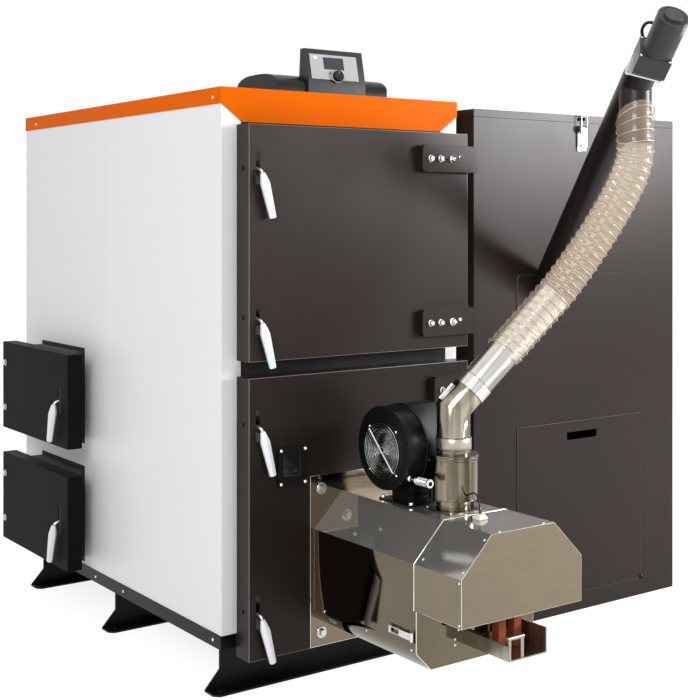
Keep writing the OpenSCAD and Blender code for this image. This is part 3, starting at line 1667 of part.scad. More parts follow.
// Hopper
module sloped_bin(grow) {
  hull() {
    box(hopper_x0 + hopper_t - grow, hopper_x1 - hopper_t + grow, hopper_t - grow,
      hopper_d - hopper_t + grow, funnel_top, funnel_top + thin);
    box(funnel_x0 - grow, funnel_x0 + funnel_w + grow, funnel_y0 - grow,
      funnel_y0 + funnel_d + grow, funnel_low, funnel_low + thin);
  }
}

module hopper_body() {
  color("#37302e") {
    corner() difference() {
      union() {
        difference() {
          box(hopper_x0, hopper_x1, 0, hopper_d, 0, hopper_h);
          box(hopper_x0 + hopper_t, hopper_x1 - hopper_t, hopper_t, hopper_d - hopper_t,
            hopper_t, hopper_h + cut);
        }
        difference() {
          intersection() {
            sloped_bin(hopper_t);
            box(hopper_x0 + hopper_t / 2, hopper_x1 - hopper_t / 2, hopper_t / 2,
              hopper_d - hopper_t / 2, 0, hopper_h);
          }
          sloped_bin(0);
        }
        difference() {
          box(funnel_x0 - hopper_t, funnel_x0 + funnel_w + hopper_t, funnel_y0 - hopper_t,
            funnel_y0 + funnel_d + hopper_t, funnel_low - boot_l, funnel_low + hopper_t);
          box(funnel_x0, funnel_x0 + funnel_w, funnel_y0, funnel_y0 + funnel_d,
            funnel_low - boot_l - cut, funnel_low + hopper_t + cut);
        }
      }
      box(plate_x0 + cover_lap, plate_x1 - cover_lap, -cut, hopper_t + cut,
        plate_z0 + cover_lap, plate_z1 - cover_lap);
      box(service_x0 + service_lap, service_x0 + service_w - service_lap, -cut, hopper_t + cut,
        service_z0 + service_lap, service_z0 + service_h - service_lap);
      tube_way(cover_hole);
    }
    corner() {
      saddle();
      hopper_ears();
      lid_knuckles(0);
      toggle_plate();
    }
  }
}

// The space round the auger tube, in the casing corner's frame.
module tube_way(gap) {
  translate([casing_w + spout_x, -spout_y, casing_h + spout_z])
    rotate([90 - auger_slope, 0, -auger_turn])
      translate([0, 0, -tube_down - bearing_t - gap])
        cylinder(r = pipe_d / 2 + gap, h = tube_down + bearing_t + gap);
}

// Saddle on the hopper's floor under the tube's lower end.
module saddle() {
  x = casing_w + spout_x + saddle_at * cos(auger_slope) * sin(auger_turn);
  y = saddle_at * cos(auger_slope) * cos(auger_turn) - spout_y;
  z = casing_h + spout_z - saddle_at * sin(auger_slope);
  difference() {
    box(x - saddle_w / 2, x + saddle_w / 2, y - saddle_t / 2, y + saddle_t / 2, hopper_t / 2, z);
    tube_way(fit);
  }
}

module hopper_ears() {
  for (x = [service_x0 - service_ear_t - seat, service_x0 + service_w + seat]) difference() {
    box(x, x + service_ear_t, -service_hinge_y - service_ear / 2, 0,
      service_z0 - service_ear / 2, service_z0 + service_ear / 2);
    along_x(x - cut, -service_hinge_y, service_z0)
      cylinder(r = service_pin_r + fit, h = service_ear_t + 2 * cut);
  }
}

// Lid hinge barrels: part 0 stays on the hopper and part 1 turns with the lid.
module lid_knuckles(part) {
  y = hopper_d + lid_hinge_y;
  l = lid_knuckle_l;
  for (x = [hopper_x0 + lid_hinge_in, hopper_x1 - lid_hinge_in]) {
    if (part == 0) {
      for (s = [-1, 1]) {
        x0 = x + s * (l + seat) - l / 2;
        along_x(x0, y, hopper_h) cylinder(r = lid_knuckle_r, h = l);
        box(x0, x0 + l, hopper_d, y, hopper_h - lid_knuckle_r, hopper_h - lid_pin_r);
      }
      along_x(x - 3 * l / 2 - seat, y, hopper_h) cylinder(r = lid_pin_r, h = 3 * l + 2 * seat);
    } else difference() {
      union() {
        along_x(x - l / 2, y, hopper_h) cylinder(r = lid_knuckle_r, h = l);
        box(x - l / 2, x + l / 2, hopper_d, y, hopper_h + lid_pin_r, hopper_h + lid_knuckle_r);
      }
      along_x(x - l, y, hopper_h) cylinder(r = lid_pin_r + fit, h = 2 * l);
    }
  }
}

module toggle_plate() {
  z = toggle_pin_z();
  box(catch_x - toggle_w / 2, catch_x + toggle_w / 2, -toggle_t, 0, hopper_h - toggle_z0,
    hopper_h - toggle_z0 + toggle_h);
  for (x = [catch_x - toggle_w / 2, catch_x + toggle_w / 2 - ear_t])
    box(x, x + ear_t, -ear_out, 0, z - ear_h / 2, z + ear_h / 2);
  along_x(catch_x - toggle_w / 2, -toggle_pin_y, z) cylinder(r = toggle_pin_r, h = toggle_w);
}

function toggle_pin_z() = hopper_h - toggle_pin_down;
function bail_y() = -toggle_pin_y - toggle_pin_r - bail_r - play;

module lid_lever() {
  x0 = catch_x - lever_w / 2;
  z = toggle_pin_z();
  color("#b4b6b8") corner() difference() {
    union() {
      along_x(x0, -toggle_pin_y, z) cylinder(r = lever_hub_r, h = lever_w);
      box(x0, x0 + lever_w, bail_y() - lever_t / 2, bail_y() + lever_t / 2, z - lever_l, z);
      along_x(x0, bail_y(), z - bail_drop) cylinder(r = 2 * bail_r, h = lever_w);
    }
    along_x(x0 - cut, -toggle_pin_y, z) cylinder(r = toggle_pin_r + fit, h = lever_w + 2 * cut);
    along_x(x0 - cut, bail_y(), z - bail_drop) cylinder(r = bail_pin_r + fit, h = lever_w + 2 * cut);
  }
}

module lid_bail() {
  z = toggle_pin_z() - bail_drop;
  color("#c4c6c8") corner() {
    for (s = [-1, 1]) translate([catch_x + s * bail_w / 2, bail_y(), z]) {
      sphere(r = bail_r);
      cylinder(r = bail_r, h = bail_h);
      translate([0, 0, bail_h]) sphere(r = bail_r);
    }
    along_x(catch_x - bail_w / 2, bail_y(), z + bail_h) cylinder(r = bail_r, h = bail_w);
    along_x(catch_x - bail_w / 2, bail_y(), z) cylinder(r = bail_pin_r, h = bail_w);
  }
}

module hopper_lid() {
  z1 = hopper_h + lid_h;
  color("#37302e") corner() {
    difference() {
      box(hopper_x0, hopper_x1, 0, hopper_d, hopper_h, z1);
      box(hopper_x0 + hopper_t, hopper_x1 - hopper_t, hopper_t, hopper_d - hopper_t,
        hopper_h - cut, z1 - hopper_t);
    }
    lid_knuckles(1);
  }
  color("#b4b6b8") corner() box(catch_x - catch_w / 2, catch_x + catch_w / 2, -catch_t, 0,
    z1 - catch_h - catch_t, z1 - catch_t);
}

module hopper_cover_plate() {
  color("#37302e") corner() difference() {
    box(plate_x0, plate_x1, -cover_t, 0, plate_z0, plate_z1);
    tube_way(cover_hole);
  }
  color("#8d9094") corner() for (x = [plate_x0 + small_edge, plate_x1 - small_edge])
    for (z = [plate_z0 + small_edge, plate_z1 - small_edge])
      head_front(x, cover_t, z, small_head_r, small_head_h);
}

module hopper_door() {
  x1 = service_x0 + service_w;
  xm = service_x0 + service_w / 2;
  zh = service_z0 + service_h - hand_down;
  color("#37302e") corner() {
    difference() {
      box(service_x0, x1, -hopper_t - lap, -lap, service_z0, service_z0 + service_h);
      box(xm - hand_w / 2, xm + hand_w / 2, -hopper_t - lap - cut, cut, zh, zh + hand_h);
    }
    for (x = [service_x0, x1 - service_ear_t]) box(x, x + service_ear_t,
      -service_hinge_y - service_pin_r, -lap, service_z0, service_z0 + service_ear);
    for (x = [service_x0 - service_ear_t, x1 - service_ear_t])
      along_x(x, -service_hinge_y, service_z0) cylinder(r = service_pin_r, h = 2 * service_ear_t);
  }
}

// Controller
// The base's cross-section: a flattened arch cut off at the front and the rear.
function plinth_arch(u) = plinth_h * pow(1 - pow(abs(u), plinth_power), 1 / plinth_power);
module plinth_profile(grow) {
  u0 = (plinth_y0 - plinth_mid - grow) / (plinth_half + grow);
  u1 = (plinth_y1 - plinth_mid + grow) / (plinth_half + grow);
  polygon(concat([[plinth_y1 + grow, 0], [plinth_y0 - grow, 0]],
    [for (i = [0 : plinth_steps]) let (u = u0 + (u1 - u0) * i / plinth_steps)
      [plinth_mid + (plinth_half + grow) * u, plinth_arch(u) + grow]]));
}

module controller_base() {
  color("#1a1a1c") corner() translate([plinth_x0, 0, casing_h]) rotate([90, 0, 90])
    linear_extrude(plinth_w) plinth_profile(0);
}

module controller_housing() {
  run = control_h * tan(face_tilt);
  color("#2c2e31") corner() translate([control_x0, 0, casing_h]) rotate([90, 0, 90])
    linear_extrude(control_w) difference() {
      polygon([
        [control_y0, 0], [control_y0, control_up], [control_y0 + run, control_up + control_h],
        [control_y0 + run + control_top, control_up + control_h],
        [control_y0 + control_d, control_up], [control_y0 + control_d, 0]]);
      plinth_profile(seat);
    }
}

// The face's frame: X along the face, Z up the face, -Y out of it.
module face_frame() {
  corner() translate([control_x0 + face_in, control_y0, control_z]) rotate([-face_tilt, 0, 0])
    translate([0, 0, face_up]) children();
}

module controller_face() {
  color("#d3d6d8") face_frame() difference() {
    box(0, face_w, -face_t, 0, 0, face_h);
    box(screen_x, screen_x + screen_w, -face_t - cut, -face_t + screen_t, screen_up,
      screen_up + screen_h);
    along_y(knob_x, -face_t - cut, knob_up) cylinder(r = knob_shaft_r + fit, h = face_t + 2 * cut);
  }
}

module controller_screen() {
  color("#4a5a50") face_frame()
    box(screen_x + lap, screen_x + screen_w - lap, -face_t, -face_t + screen_t, screen_up + lap,
      screen_up + screen_h - lap);
}

module controller_knob() {
  color("#2a2b2e") face_frame() {
    along_y(knob_x, -face_t - seat - knob_h, knob_up) cylinder(d = knob_d, h = knob_h);
    along_y(knob_x, -face_t - seat - knob_ring, knob_up)
      cylinder(r = knob_d / 2 + knob_ring, h = knob_ring);
    along_y(knob_x, -face_t - seat - knob_ring, knob_up)
      cylinder(r = knob_shaft_r, h = face_t + seat + knob_ring - play);
  }
}

floor_beams();
base_sills();
jacket_shell();
firebox();
front_frame();
exchanger_plates();
insulation_wrap();
left_front_panel();
left_rear_panel();
far_panels();
top_cover();
casing_screws();
flue_outlet();
water_sockets();
hinge_brackets();
controller_base();
controller_housing();
controller_face();
controller_screen();
controller_knob();
hopper_body();
hopper_cover_plate();
auger_tube();
auger_gearmotor();
motor_lead();
auger_screw();
hopper_lid();
hopper_door();
lid_lever();
lid_bail();
upper_door_shell();
upper_door_lining();
upper_hinge_leaves();
upper_top_handle();
upper_bottom_handle();
lower_door_shell();
lower_door_lining();
lower_hinge_leaves();
lower_top_handle();
lower_bottom_handle();
sight_port();
burner_flange();
burner_casing();
burner_hood();
burner_bolts();
combustion_tube();
igniter_unit();
burner_leads();
burner_latch();
blower_scroll();
blower_guard();
blower_motor();
blower_impeller();
feed_inlet();
feed_elbow();
feed_hose();
upper_side_door();
lower_side_door();
upper_side_handle();
lower_side_handle();
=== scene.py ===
import json
import math

import bmesh
import bpy
from mathutils import Matrix, Vector


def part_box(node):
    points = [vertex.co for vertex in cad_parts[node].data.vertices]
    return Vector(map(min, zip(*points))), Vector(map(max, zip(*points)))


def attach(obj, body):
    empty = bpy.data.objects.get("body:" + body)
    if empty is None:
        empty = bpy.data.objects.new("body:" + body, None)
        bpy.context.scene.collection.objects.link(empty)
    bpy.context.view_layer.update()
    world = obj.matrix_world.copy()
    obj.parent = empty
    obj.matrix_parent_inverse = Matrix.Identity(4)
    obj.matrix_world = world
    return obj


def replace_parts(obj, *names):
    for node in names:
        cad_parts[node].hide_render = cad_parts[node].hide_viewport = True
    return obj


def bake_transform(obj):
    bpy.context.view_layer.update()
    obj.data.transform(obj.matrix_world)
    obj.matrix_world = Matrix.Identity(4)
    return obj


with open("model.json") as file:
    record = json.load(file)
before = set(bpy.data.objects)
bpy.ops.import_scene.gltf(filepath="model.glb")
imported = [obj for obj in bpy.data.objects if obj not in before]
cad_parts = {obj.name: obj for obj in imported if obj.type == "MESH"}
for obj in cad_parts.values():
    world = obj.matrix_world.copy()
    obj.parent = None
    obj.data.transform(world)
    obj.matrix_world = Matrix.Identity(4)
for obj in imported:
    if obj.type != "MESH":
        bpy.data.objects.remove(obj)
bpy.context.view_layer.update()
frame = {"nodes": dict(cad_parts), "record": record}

NODES = frame["nodes"]
scene = bpy.context.scene

# Half the casing's width and depth in millimetres. Places are given from the casing's front
# left corner at the floor, and the row frame's origin lies under the casing's middle.
HALF_W, HALF_D = 378.0, 628.0
FRONT, LEFT, RIGHT, UP = (0, -1, 0), (-1, 0, 0), (1, 0, 0), (0, 0, 1)


def P(x, y, z):
    """A point given in millimetres from the casing's front left corner, in the row frame."""
    return Vector(((x - HALF_W) / 1000, (y - HALF_D) / 1000, z / 1000))


def mm(v):
    """A length in millimetres, in metres."""
    return v / 1000.0


def V(x, y, z):
    """A vector given in millimetres, in metres."""
    return Vector((mm(x), mm(y), mm(z)))


def local(c):
    """A row frame point in millimetres from the casing's corner."""
    return Vector((c.x * 1000 + HALF_W, c.y * 1000 + HALF_D, c.z * 1000))


# Camera
# The camera stands level, and the frame is shifted down from the horizon.
FOCAL_PX, FRAME_PX, HORIZON_PX, SENSOR = 1280.5, 700.0, 217.1, 36.0
CAMERA_AT, CAMERA_LOOK = (-1573.8, -2719.6, 1180.0), (0.58161, 0.81347, 0)
camera_data = bpy.data.cameras.new("camera")
camera = bpy.data.objects.new("camera", camera_data)
scene.collection.objects.link(camera)
scene.camera = camera
camera_data.sensor_width = SENSOR
camera_data.lens = FOCAL_PX * SENSOR / FRAME_PX
camera_data.shift_y = -(FRAME_PX / 2 - HORIZON_PX) / FRAME_PX
camera_data.clip_start, camera_data.clip_end = 0.1, 60
camera.location = P(*CAMERA_AT)
camera.rotation_mode = "QUATERNION"
camera.rotation_quaternion = Vector(CAMERA_LOOK).to_track_quat("-Z", "Y")


# Shader nodes
def link(tree, a, b):
    """Joins an output socket to an input socket."""
    tree.links.new(a, b)


def add_node(tree, kind, values=None, operation=None):
    """A shader node, with the sockets that values names set to its numbers and colours."""
    n = tree.nodes.new("ShaderNode" + kind)
    if operation:
        n.operation = operation
    for socket, value in (values or {}).items():
        n.inputs[socket].default_value = value
    return n


# Light: a dim room, which the camera and clear or glossy surfaces see as a white backdrop
scene.view_settings.view_transform = "Standard"
WHITE = (1, 1, 1, 1)
world = bpy.data.worlds.new("studio")
scene.world = world
world.use_nodes = True
world_tree = world.node_tree
world_tree.nodes.clear()
path = add_node(world_tree, "LightPath")
seen = add_node(world_tree, "Math", operation="MAXIMUM")
through = add_node(world_tree, "Math", operation="MAXIMUM")
link(world_tree, path.outputs["Is Camera Ray"], seen.inputs[0])
link(world_tree, path.outputs["Is Glossy Ray"], seen.inputs[1])
link(world_tree, seen.outputs[0], through.inputs[0])
link(world_tree, path.outputs["Is Transmission Ray"], through.inputs[1])
room = add_node(world_tree, "Background", {0: (0.98, 0.99, 1.0, 1), 1: 0.4})
backdrop = add_node(world_tree, "Background", {0: WHITE, 1: 1.0})
world_mix = add_node(world_tree, "MixShader")
link(world_tree, through.outputs[0], world_mix.inputs[0])
link(world_tree, room.outputs[0], world_mix.inputs[1])
link(world_tree, backdrop.outputs[0], world_mix.inputs[2])
link(world_tree, world_mix.outputs[0], add_node(world_tree, "OutputWorld").inputs[0])


def lamp(name, place, aim, size, power):
    """A rectangular area lamp at place that faces aim, in metres and watts."""
    data = bpy.data.lights.new(name, "AREA")
    data.shape = "RECTANGLE"
    data.size, data.size_y = size
    data.energy = power
    o = bpy.data.objects.new(name, data)
    scene.collection.objects.link(o)
    o.location = place
    o.rotation_mode = "QUATERNION"
    o.rotation_quaternion = (Vector(aim) - Vector(place)).to_track_quat("-Z", "Y")


lamp("key", (-4.0, -4.0, 3.0), (0, 0, 0.9), (2.4, 2.4), 160)
lamp("front", (4.2, -3.85, 2.0), (0.6, -0.6, 1.2), (1.2, 0.8), 172)
lamp("middle", (2.7, -4.1, 2.0), (0.2, -0.7, 1.2), (0.8, 0.8), 34)
lamp("top", (0.3, -0.6, 4.6), (0.3, 0, 0), (3.5, 3.5), 35)

# Floor
# A pale diffuse floor that glows a little for the camera and in reflections, so that it meets
# the white backdrop and still shows the object's shadow.
FLOOR_HALF, FLOOR_DROP, FLOOR_GLOW, GLOW_SHARE = 14, 0.0005, 1.95, 0.42
floor_mesh = bpy.data.meshes.new("floor")
corners = [(x * FLOOR_HALF, y * FLOOR_HALF, 0) for x, y in ((-1, -1), (1, -1), (1, 1), (-1, 1))]
floor_mesh.from_pydata(corners, [], [(0, 1, 2, 3)])
floor = bpy.data.objects.new("floor", floor_mesh)
scene.collection.objects.link(floor)
floor.location.z = -FLOOR_DROP
floor_material = bpy.data.materials.new("floor_pale")
floor_material.use_nodes = True
floor_tree = floor_material.node_tree
floor_tree.nodes.clear()
floor_path = add_node(floor_tree, "LightPath")
floor_seen = add_node(floor_tree, "Math", operation="MAXIMUM")
link(floor_tree, floor_path.outputs["Is Camera Ray"], floor_seen.inputs[0])
link(floor_tree, floor_path.outputs["Is Glossy Ray"], floor_seen.inputs[1])
floor_share = add_node(floor_tree, "Math", {1: GLOW_SHARE}, "MULTIPLY")
link(floor_tree, floor_seen.outputs[0], floor_share.inputs[0])
floor_diffuse = add_node(floor_tree, "BsdfDiffuse", {0: (0.86, 0.86, 0.86, 1)})
floor_glow = add_node(floor_tree, "Emission", {0: WHITE, 1: FLOOR_GLOW})
floor_mix = add_node(floor_tree, "MixShader")
link(floor_tree, floor_share.outputs[0], floor_mix.inputs[0])
link(floor_tree, floor_diffuse.outputs[0], floor_mix.inputs[1])
link(floor_tree, floor_glow.outputs[0], floor_mix.inputs[2])
link(floor_tree, floor_mix.outputs[0], add_node(floor_tree, "OutputMaterial").inputs[0])
floor_mesh.materials.append(floor_material)


# Materials
def srgb(r, g, b):
    """A display colour of 0 to 255 in linear light."""
    def f(c):
        c = c / 255.0
        return c / 12.92 if c <= 0.04045 else ((c + 0.055) / 1.055) ** 2.4
    return (f(r), f(g), f(b))


# Noise runs from about LOW to HIGH, and MIRROR is the least roughness. The waves and the grain
# reach their depths in metres.
LOW, HIGH, MIRROR, SWELL_DEPTH, GRAIN_DEPTH = 0.3, 0.7, 0.02, 0.02, 0.0006


def material(name, color, rough, metal=0.0, var=0.05, rvar=0.05, grain=900.0, bump=0.08,
             spec=0.5, coat=0.0, coat_rough=0.2, alpha=1.0, stretch=(1, 1, 1), wave=0.0,
             patch=2.5, turn=None, share=0.35):
    """Principled material with colour drift, roughness drift, a fine grain and broad waves."""
    m = bpy.data.materials.new(name)
    m.use_nodes = True
    t = m.node_tree
    b = t.nodes["Principled BSDF"]
    places = add_node(t, "TexCoord").outputs["Object"]
    stretched = add_node(t, "Mapping", {"Scale": stretch})
    if turn:
        spin = add_node(t, "Mapping", {"Rotation": turn})
        link(t, places, spin.inputs["Vector"])
        link(t, spin.outputs[0], stretched.inputs["Vector"])
    else:
        link(t, places, stretched.inputs["Vector"])
    broad = add_node(t, "TexNoise", {"Scale": patch, "Detail": 4})
    link(t, places, broad.inputs["Vector"])
    fine = add_node(t, "TexNoise", {"Scale": grain, "Detail": 2})
    link(t, stretched.outputs[0], fine.inputs["Vector"])
    # Grain and broad patches together drive the colour and the roughness.
    broad_share = add_node(t, "Math", {1: 1.0 - share}, "MULTIPLY")
    link(t, broad.outputs["Fac"], broad_share.inputs[0])
    both = add_node(t, "Math", {1: share}, "MULTIPLY_ADD")
    link(t, fine.outputs["Fac"], both.inputs[0])
    link(t, broad_share.outputs[0], both.inputs[2])
    ramp = add_node(t, "ValToRGB")
    low, high = ramp.color_ramp.elements
    low.position, high.position = LOW, HIGH
    low.color = (*[c * (1 - var) for c in color], 1)
    high.color = (*[min(1.0, c * (1 + var)) for c in color], 1)
    link(t, both.outputs[0], ramp.inputs[0])
    link(t, ramp.outputs[0], b.inputs["Base Color"])
    span = add_node(t, "MapRange", {"From Min": LOW, "From Max": HIGH,
                                    "To Min": max(MIRROR, rough - rvar),
                                    "To Max": min(1.0, rough + rvar)})
    link(t, both.outputs[0], span.inputs["Value"])
    link(t, span.outputs[0], b.inputs["Roughness"])
    last = None
    for strength, depth, noise in ((wave, SWELL_DEPTH, broad), (bump, GRAIN_DEPTH, fine)):
        if strength:
            relief = add_node(t, "Bump", {"Strength": strength, "Distance": depth})
            link(t, noise.outputs["Fac"], relief.inputs["Height"])
            if last:
                link(t, last.outputs[0], relief.inputs["Normal"])
            last = relief
    if last:
        link(t, last.outputs[0], b.inputs["Normal"])
    b.inputs["Metallic"].default_value = metal
    b.inputs["Specular IOR Level"].default_value = spec
    b.inputs["Coat Weight"].default_value = coat
    b.inputs["Coat Roughness"].default_value = coat_rough
    b.inputs["Alpha"].default_value = alpha
    return m


# The sheet steel's grain runs level, and the pipes' grain runs along them; on the pipes its strong
# colour drift is partly grain and partly painted reflection bands.
SHEET = dict(metal=1.0, var=0.16, grain=7, bump=0.02, stretch=(2, 2, 60), patch=3.0)
ALONG = dict(metal=1.0, rvar=0.05, bump=0.02, stretch=(1, 1, 0.03), patch=9.0)
PIPE_TURN = (math.radians(-13), math.radians(-43), 0)
M = {
    # paints
    "white": material("white_enamel", srgb(240, 241, 243), 0.38, var=0.015, rvar=0.04, grain=700,
                      bump=0.05),
    "orange": material("orange_enamel", srgb(236, 104, 0), 0.36, var=0.03, rvar=0.04, grain=700,
                       bump=0.06, spec=0.02),
    "charcoal": material("charcoal_paint", srgb(37, 27, 22), 0.32, var=0.08, rvar=0.04, bump=0.16,
                         spec=0.2),
    # A darker copy of the charcoal paint for the lower door: painted shade
    "lower_door_shade_paint": material("lower_door_painted_shade", srgb(30, 22, 18), 0.34, var=0.08, rvar=0.04,
                            bump=0.16, spec=0.17),
    "black": material("black_paint", srgb(14, 11, 10), 0.4, var=0.15, rvar=0.08, grain=600,
                      bump=0.12, spec=0.16),
    "side_black": material("side_door_paint", srgb(20, 20, 20), 0.42, var=0.08, bump=0.16, spec=0.02),
    "tube_paint": material("tube_paint", srgb(26, 21, 19), 0.32, var=0.1, rvar=0.06, bump=0.12,
                           spec=0.3),
    # Lighter paint on the rounded folds of painted parts: a painted highlight along the edges
    "fold_highlight": material("painted_fold_highlight", srgb(118, 110, 106), 0.3, var=0.12, grain=300,
                           bump=0.05, spec=0.4),
    "fan_black": material("blower_black", srgb(12, 12, 12), 0.3, var=0.12, rvar=0.06, grain=800,
                          bump=0.1, spec=0.16),
    "motor": material("motor_grey", srgb(62, 60, 60), 0.34, var=0.1, rvar=0.07, grain=700,
                      bump=0.14, spec=0.25),
    # Near black for the seams' gaps, and for painted shade in the side recesses
    "dark": material("gap_and_recess_shade_black", srgb(8, 8, 8), 0.8, var=0.1, grain=200, bump=0.05),
    # metals
    "mill": material("boiler_steel", srgb(70, 64, 60), 0.6, metal=0.6, var=0.25, rvar=0.12,
                     grain=120, bump=0.3),
    "steel": material("stainless", (0.2, 0.166, 0.12), 0.1, rvar=0.04, wave=0.03, **SHEET),
    # A darker copy of the stainless for the burner casing's sides: painted shade
    "steel_shaded_side": material("stainless_painted_shade", (0.135, 0.114, 0.08), 0.06, rvar=0.03, wave=0.008,
                           **SHEET),
    # A lighter copy of the stainless for faces of the burner that look up: painted light
    "steel_lit_top": material("stainless_painted_light", (0.42, 0.4, 0.37), 0.08, metal=0.74, var=0.1, rvar=0.04, grain=40,
                      bump=0.01, stretch=(1, 12, 1), wave=0.012, patch=4.0),
    # The feed drum and the elbow take darker copies of the stainless, painted shade, and the inclined
    # pipe a lighter copy, painted light
    "pipe": material("stainless_pipe_painted_shade", (0.2, 0.172, 0.125), 0.16, var=0.75, grain=42, wave=0.01,
                     share=0.85, **ALONG),
    "elbow": material("stainless_elbow_painted_shade", (0.3, 0.27, 0.215), 0.17, var=0.7, grain=40, share=0.85,
                      **ALONG),
    "incline": material("stainless_incline_painted_light", (0.66, 0.635, 0.6), 0.24, metal=1.0, var=0.35, rvar=0.06,
                        grain=70, bump=0.02, stretch=(1, 1, 0.03), patch=9.0, share=0.8,
                        turn=PIPE_TURN),
    "sleeve": material("stainless_sleeve", (0.39, 0.36, 0.31), 0.34, metal=1.0, var=0.2, rvar=0.06,
                       grain=60, bump=0.03, stretch=(1, 1, 0.05), patch=9.0, share=0.7),
    # Bright metal on the burner's rounded folds and on the hood's seam: a painted highlight
    "edge": material("painted_edge_highlight", (0.86, 0.83, 0.77), 0.2, metal=1.0, var=0.08, grain=120, bump=0.02),
    "zinc": material("zinc", (0.62, 0.62, 0.61), 0.26, metal=1.0, var=0.12, rvar=0.08, grain=300),
    "chrome": material("chrome_wire", (0.8, 0.8, 0.79), 0.1, metal=1.0, rvar=0.04, grain=300,
                       bump=0.02),
    "copper": material("copper_wire", (0.66, 0.49, 0.3), 0.3, metal=0.75, var=0.12, rvar=0.06,
                       grain=200, bump=0.03),
    "alu": material("fan_wheel", (0.72, 0.72, 0.71), 0.28, metal=1.0, var=0.1, rvar=0.08,
                    grain=200, bump=0.05),
    # linings
    "board": material("lining_board", srgb(176, 168, 152), 0.85, var=0.12, rvar=0.08, grain=260,
                      bump=0.4),
    "rope": material("seal_rope", srgb(205, 199, 186), 0.9, var=0.14, grain=320, bump=0.7),
    "wool": material("mineral_wool", srgb(214, 198, 140), 0.95, var=0.2, rvar=0.03, grain=140,
                     bump=0.9),
    "brick": material("igniter_block", srgb(150, 72, 34), 0.75, var=0.2, rvar=0.08, grain=180,
                      bump=0.5),
    "ceramic": material("ceramic", srgb(236, 232, 222), 0.45, var=0.04, grain=300, bump=0.05),
    # plastics and glass
    "grip": material("white_grip", srgb(238, 240, 243), 0.3, var=0.02, grain=500, bump=0.04),
    "black_plastic": material("black_plastic", srgb(18, 18, 19), 0.36, var=0.08, rvar=0.06, grain=1100,
                              bump=0.14, spec=0.25),
    "grey_plastic": material("grey_plastic", srgb(34, 35, 38), 0.36, var=0.06, rvar=0.06, grain=1100,
                             bump=0.14, spec=0.3),
    "light_plastic": material("light_plastic", srgb(172, 174, 177), 0.34, var=0.02, rvar=0.04,
                              bump=0.04, spec=0.3),
    "red": material("red_mark", srgb(190, 40, 30), 0.4, rvar=0.04, grain=300, bump=0.02),
    "screen": material("display_glass", srgb(58, 62, 66), 0.16, rvar=0.03, grain=60, bump=0.0,
                       spec=0.3),
    "glass": material("port_glass", srgb(20, 18, 17), 0.1, var=0.2, rvar=0.04, grain=60, bump=0.0,
                      coat=0.5, coat_rough=0.05),
    "cable": material("cable_sheath", srgb(12, 12, 12), 0.45, var=0.1, rvar=0.06, grain=500,
                      bump=0.1, spec=0.25),
    "film": material("hose_film", (1.0, 0.8, 0.61), 0.1, var=0.04, grain=40, bump=0.02, spec=0.8,
                     alpha=0.22, coat=1.0, coat_rough=0.06),
}

SLOT_MATERIAL = {
    "white_enamel": "white", "orange_enamel": "orange", "charcoal_paint": "charcoal",
    "black_paint": "black", "side_door_paint": "side_black", "boiler_steel": "mill",
    "stainless": "steel", "zinc": "zinc", "handle_set": "grip", "lining_board": "board",
    "wool": "wool", "black_plastic": "black_plastic", "grey_plastic": "grey_plastic",
    "light_plastic": "light_plastic", "screen_glass": "screen", "hose_plastic": "film",
    "cable": "cable", "blower_black": "fan_black", "fan_wheel": "alu", "motor_black": "motor",
}
# The lower door takes the darker copy of the door paint, painted shade
OVERRIDE = {"lower_door_shell": "lower_door_shade_paint", "feed_inlet": "pipe", "feed_elbow": "incline",
            "auger_tube": "tube_paint", "front_frame": "black"}
SLOT_OF = {s["node"]: s["material_slot"] for s in frame["record"]["subparts"]}
BODY_OF = {n: b for b, ns in frame["record"]["behaviour"]["bodies"].items() for n in ns}
for n, o in NODES.items():
    o.data.materials.clear()
    o.data.materials.append(M[OVERRIDE.get(n, SLOT_MATERIAL[SLOT_OF[n]])])

# Mesh helpers
# A wide flat face, in square metres, stays flat next to one that is this many times smaller.
WIDE_FACE, WIDE_RATIO = 3e-4, 12
BEVEL_PROFILE = 0.6
# A CAD node's points merge at MERGE metres, and its faces join below FLAT_ANGLE degrees.
MERGE, FLAT_ANGLE = 2e-5, 0.8


def finish_mesh(name, bm, mats, body, smooth=32):
    """Makes a piece of bm, smooth up to an angle in degrees, that rides on body."""
    me = bpy.data.meshes.new(name)
    bmesh.ops.recalc_face_normals(bm, faces=bm.faces)
    flat = []
    for i, e in enumerate(bm.edges):
        areas = sorted(f.calc_area() for f in e.link_faces)
        if len(areas) == 2 and areas[1] > WIDE_FACE and areas[1] > WIDE_RATIO * areas[0]:
            flat.append(i)
    bm.to_mesh(me)
    bm.free()
    for m in mats:
        me.materials.append(M[m])
    for p in me.polygons:
        p.use_smooth = True
    me.set_sharp_from_angle(angle=math.radians(smooth))
    for i in flat:
        me.edges[i].use_edge_sharp = True
    o = bpy.data.objects.new(name, me)
    scene.collection.objects.link(o)
    if body:
        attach(o, body)
    return o


def take(bm, other, matrix=None, mat=0):
    """Moves the mesh other by matrix and adds it to bm."""
    me = bpy.data.meshes.new("scratch")
    if matrix is not None:
        other.transform(matrix)
    for f in other.faces:
        f.material_index = mat
    other.to_mesh(me)
    other.free()
    bm.from_mesh(me)
    bpy.data.meshes.remove(me)


def frame_z(origin, z, x=None):
    """A matrix whose +Z runs along z from origin."""
    z = Vector(z).normalized()
    if x is None:
        x = (1, 0, 0) if abs(z.x) < 0.9 else (0, 1, 0)
    x = Vector(x)
    x = (x - z * x.dot(z)).normalized()
    m = Matrix((x, z.cross(x), z)).transposed().to_4x4()
    m.translation = Vector(origin)
    return m


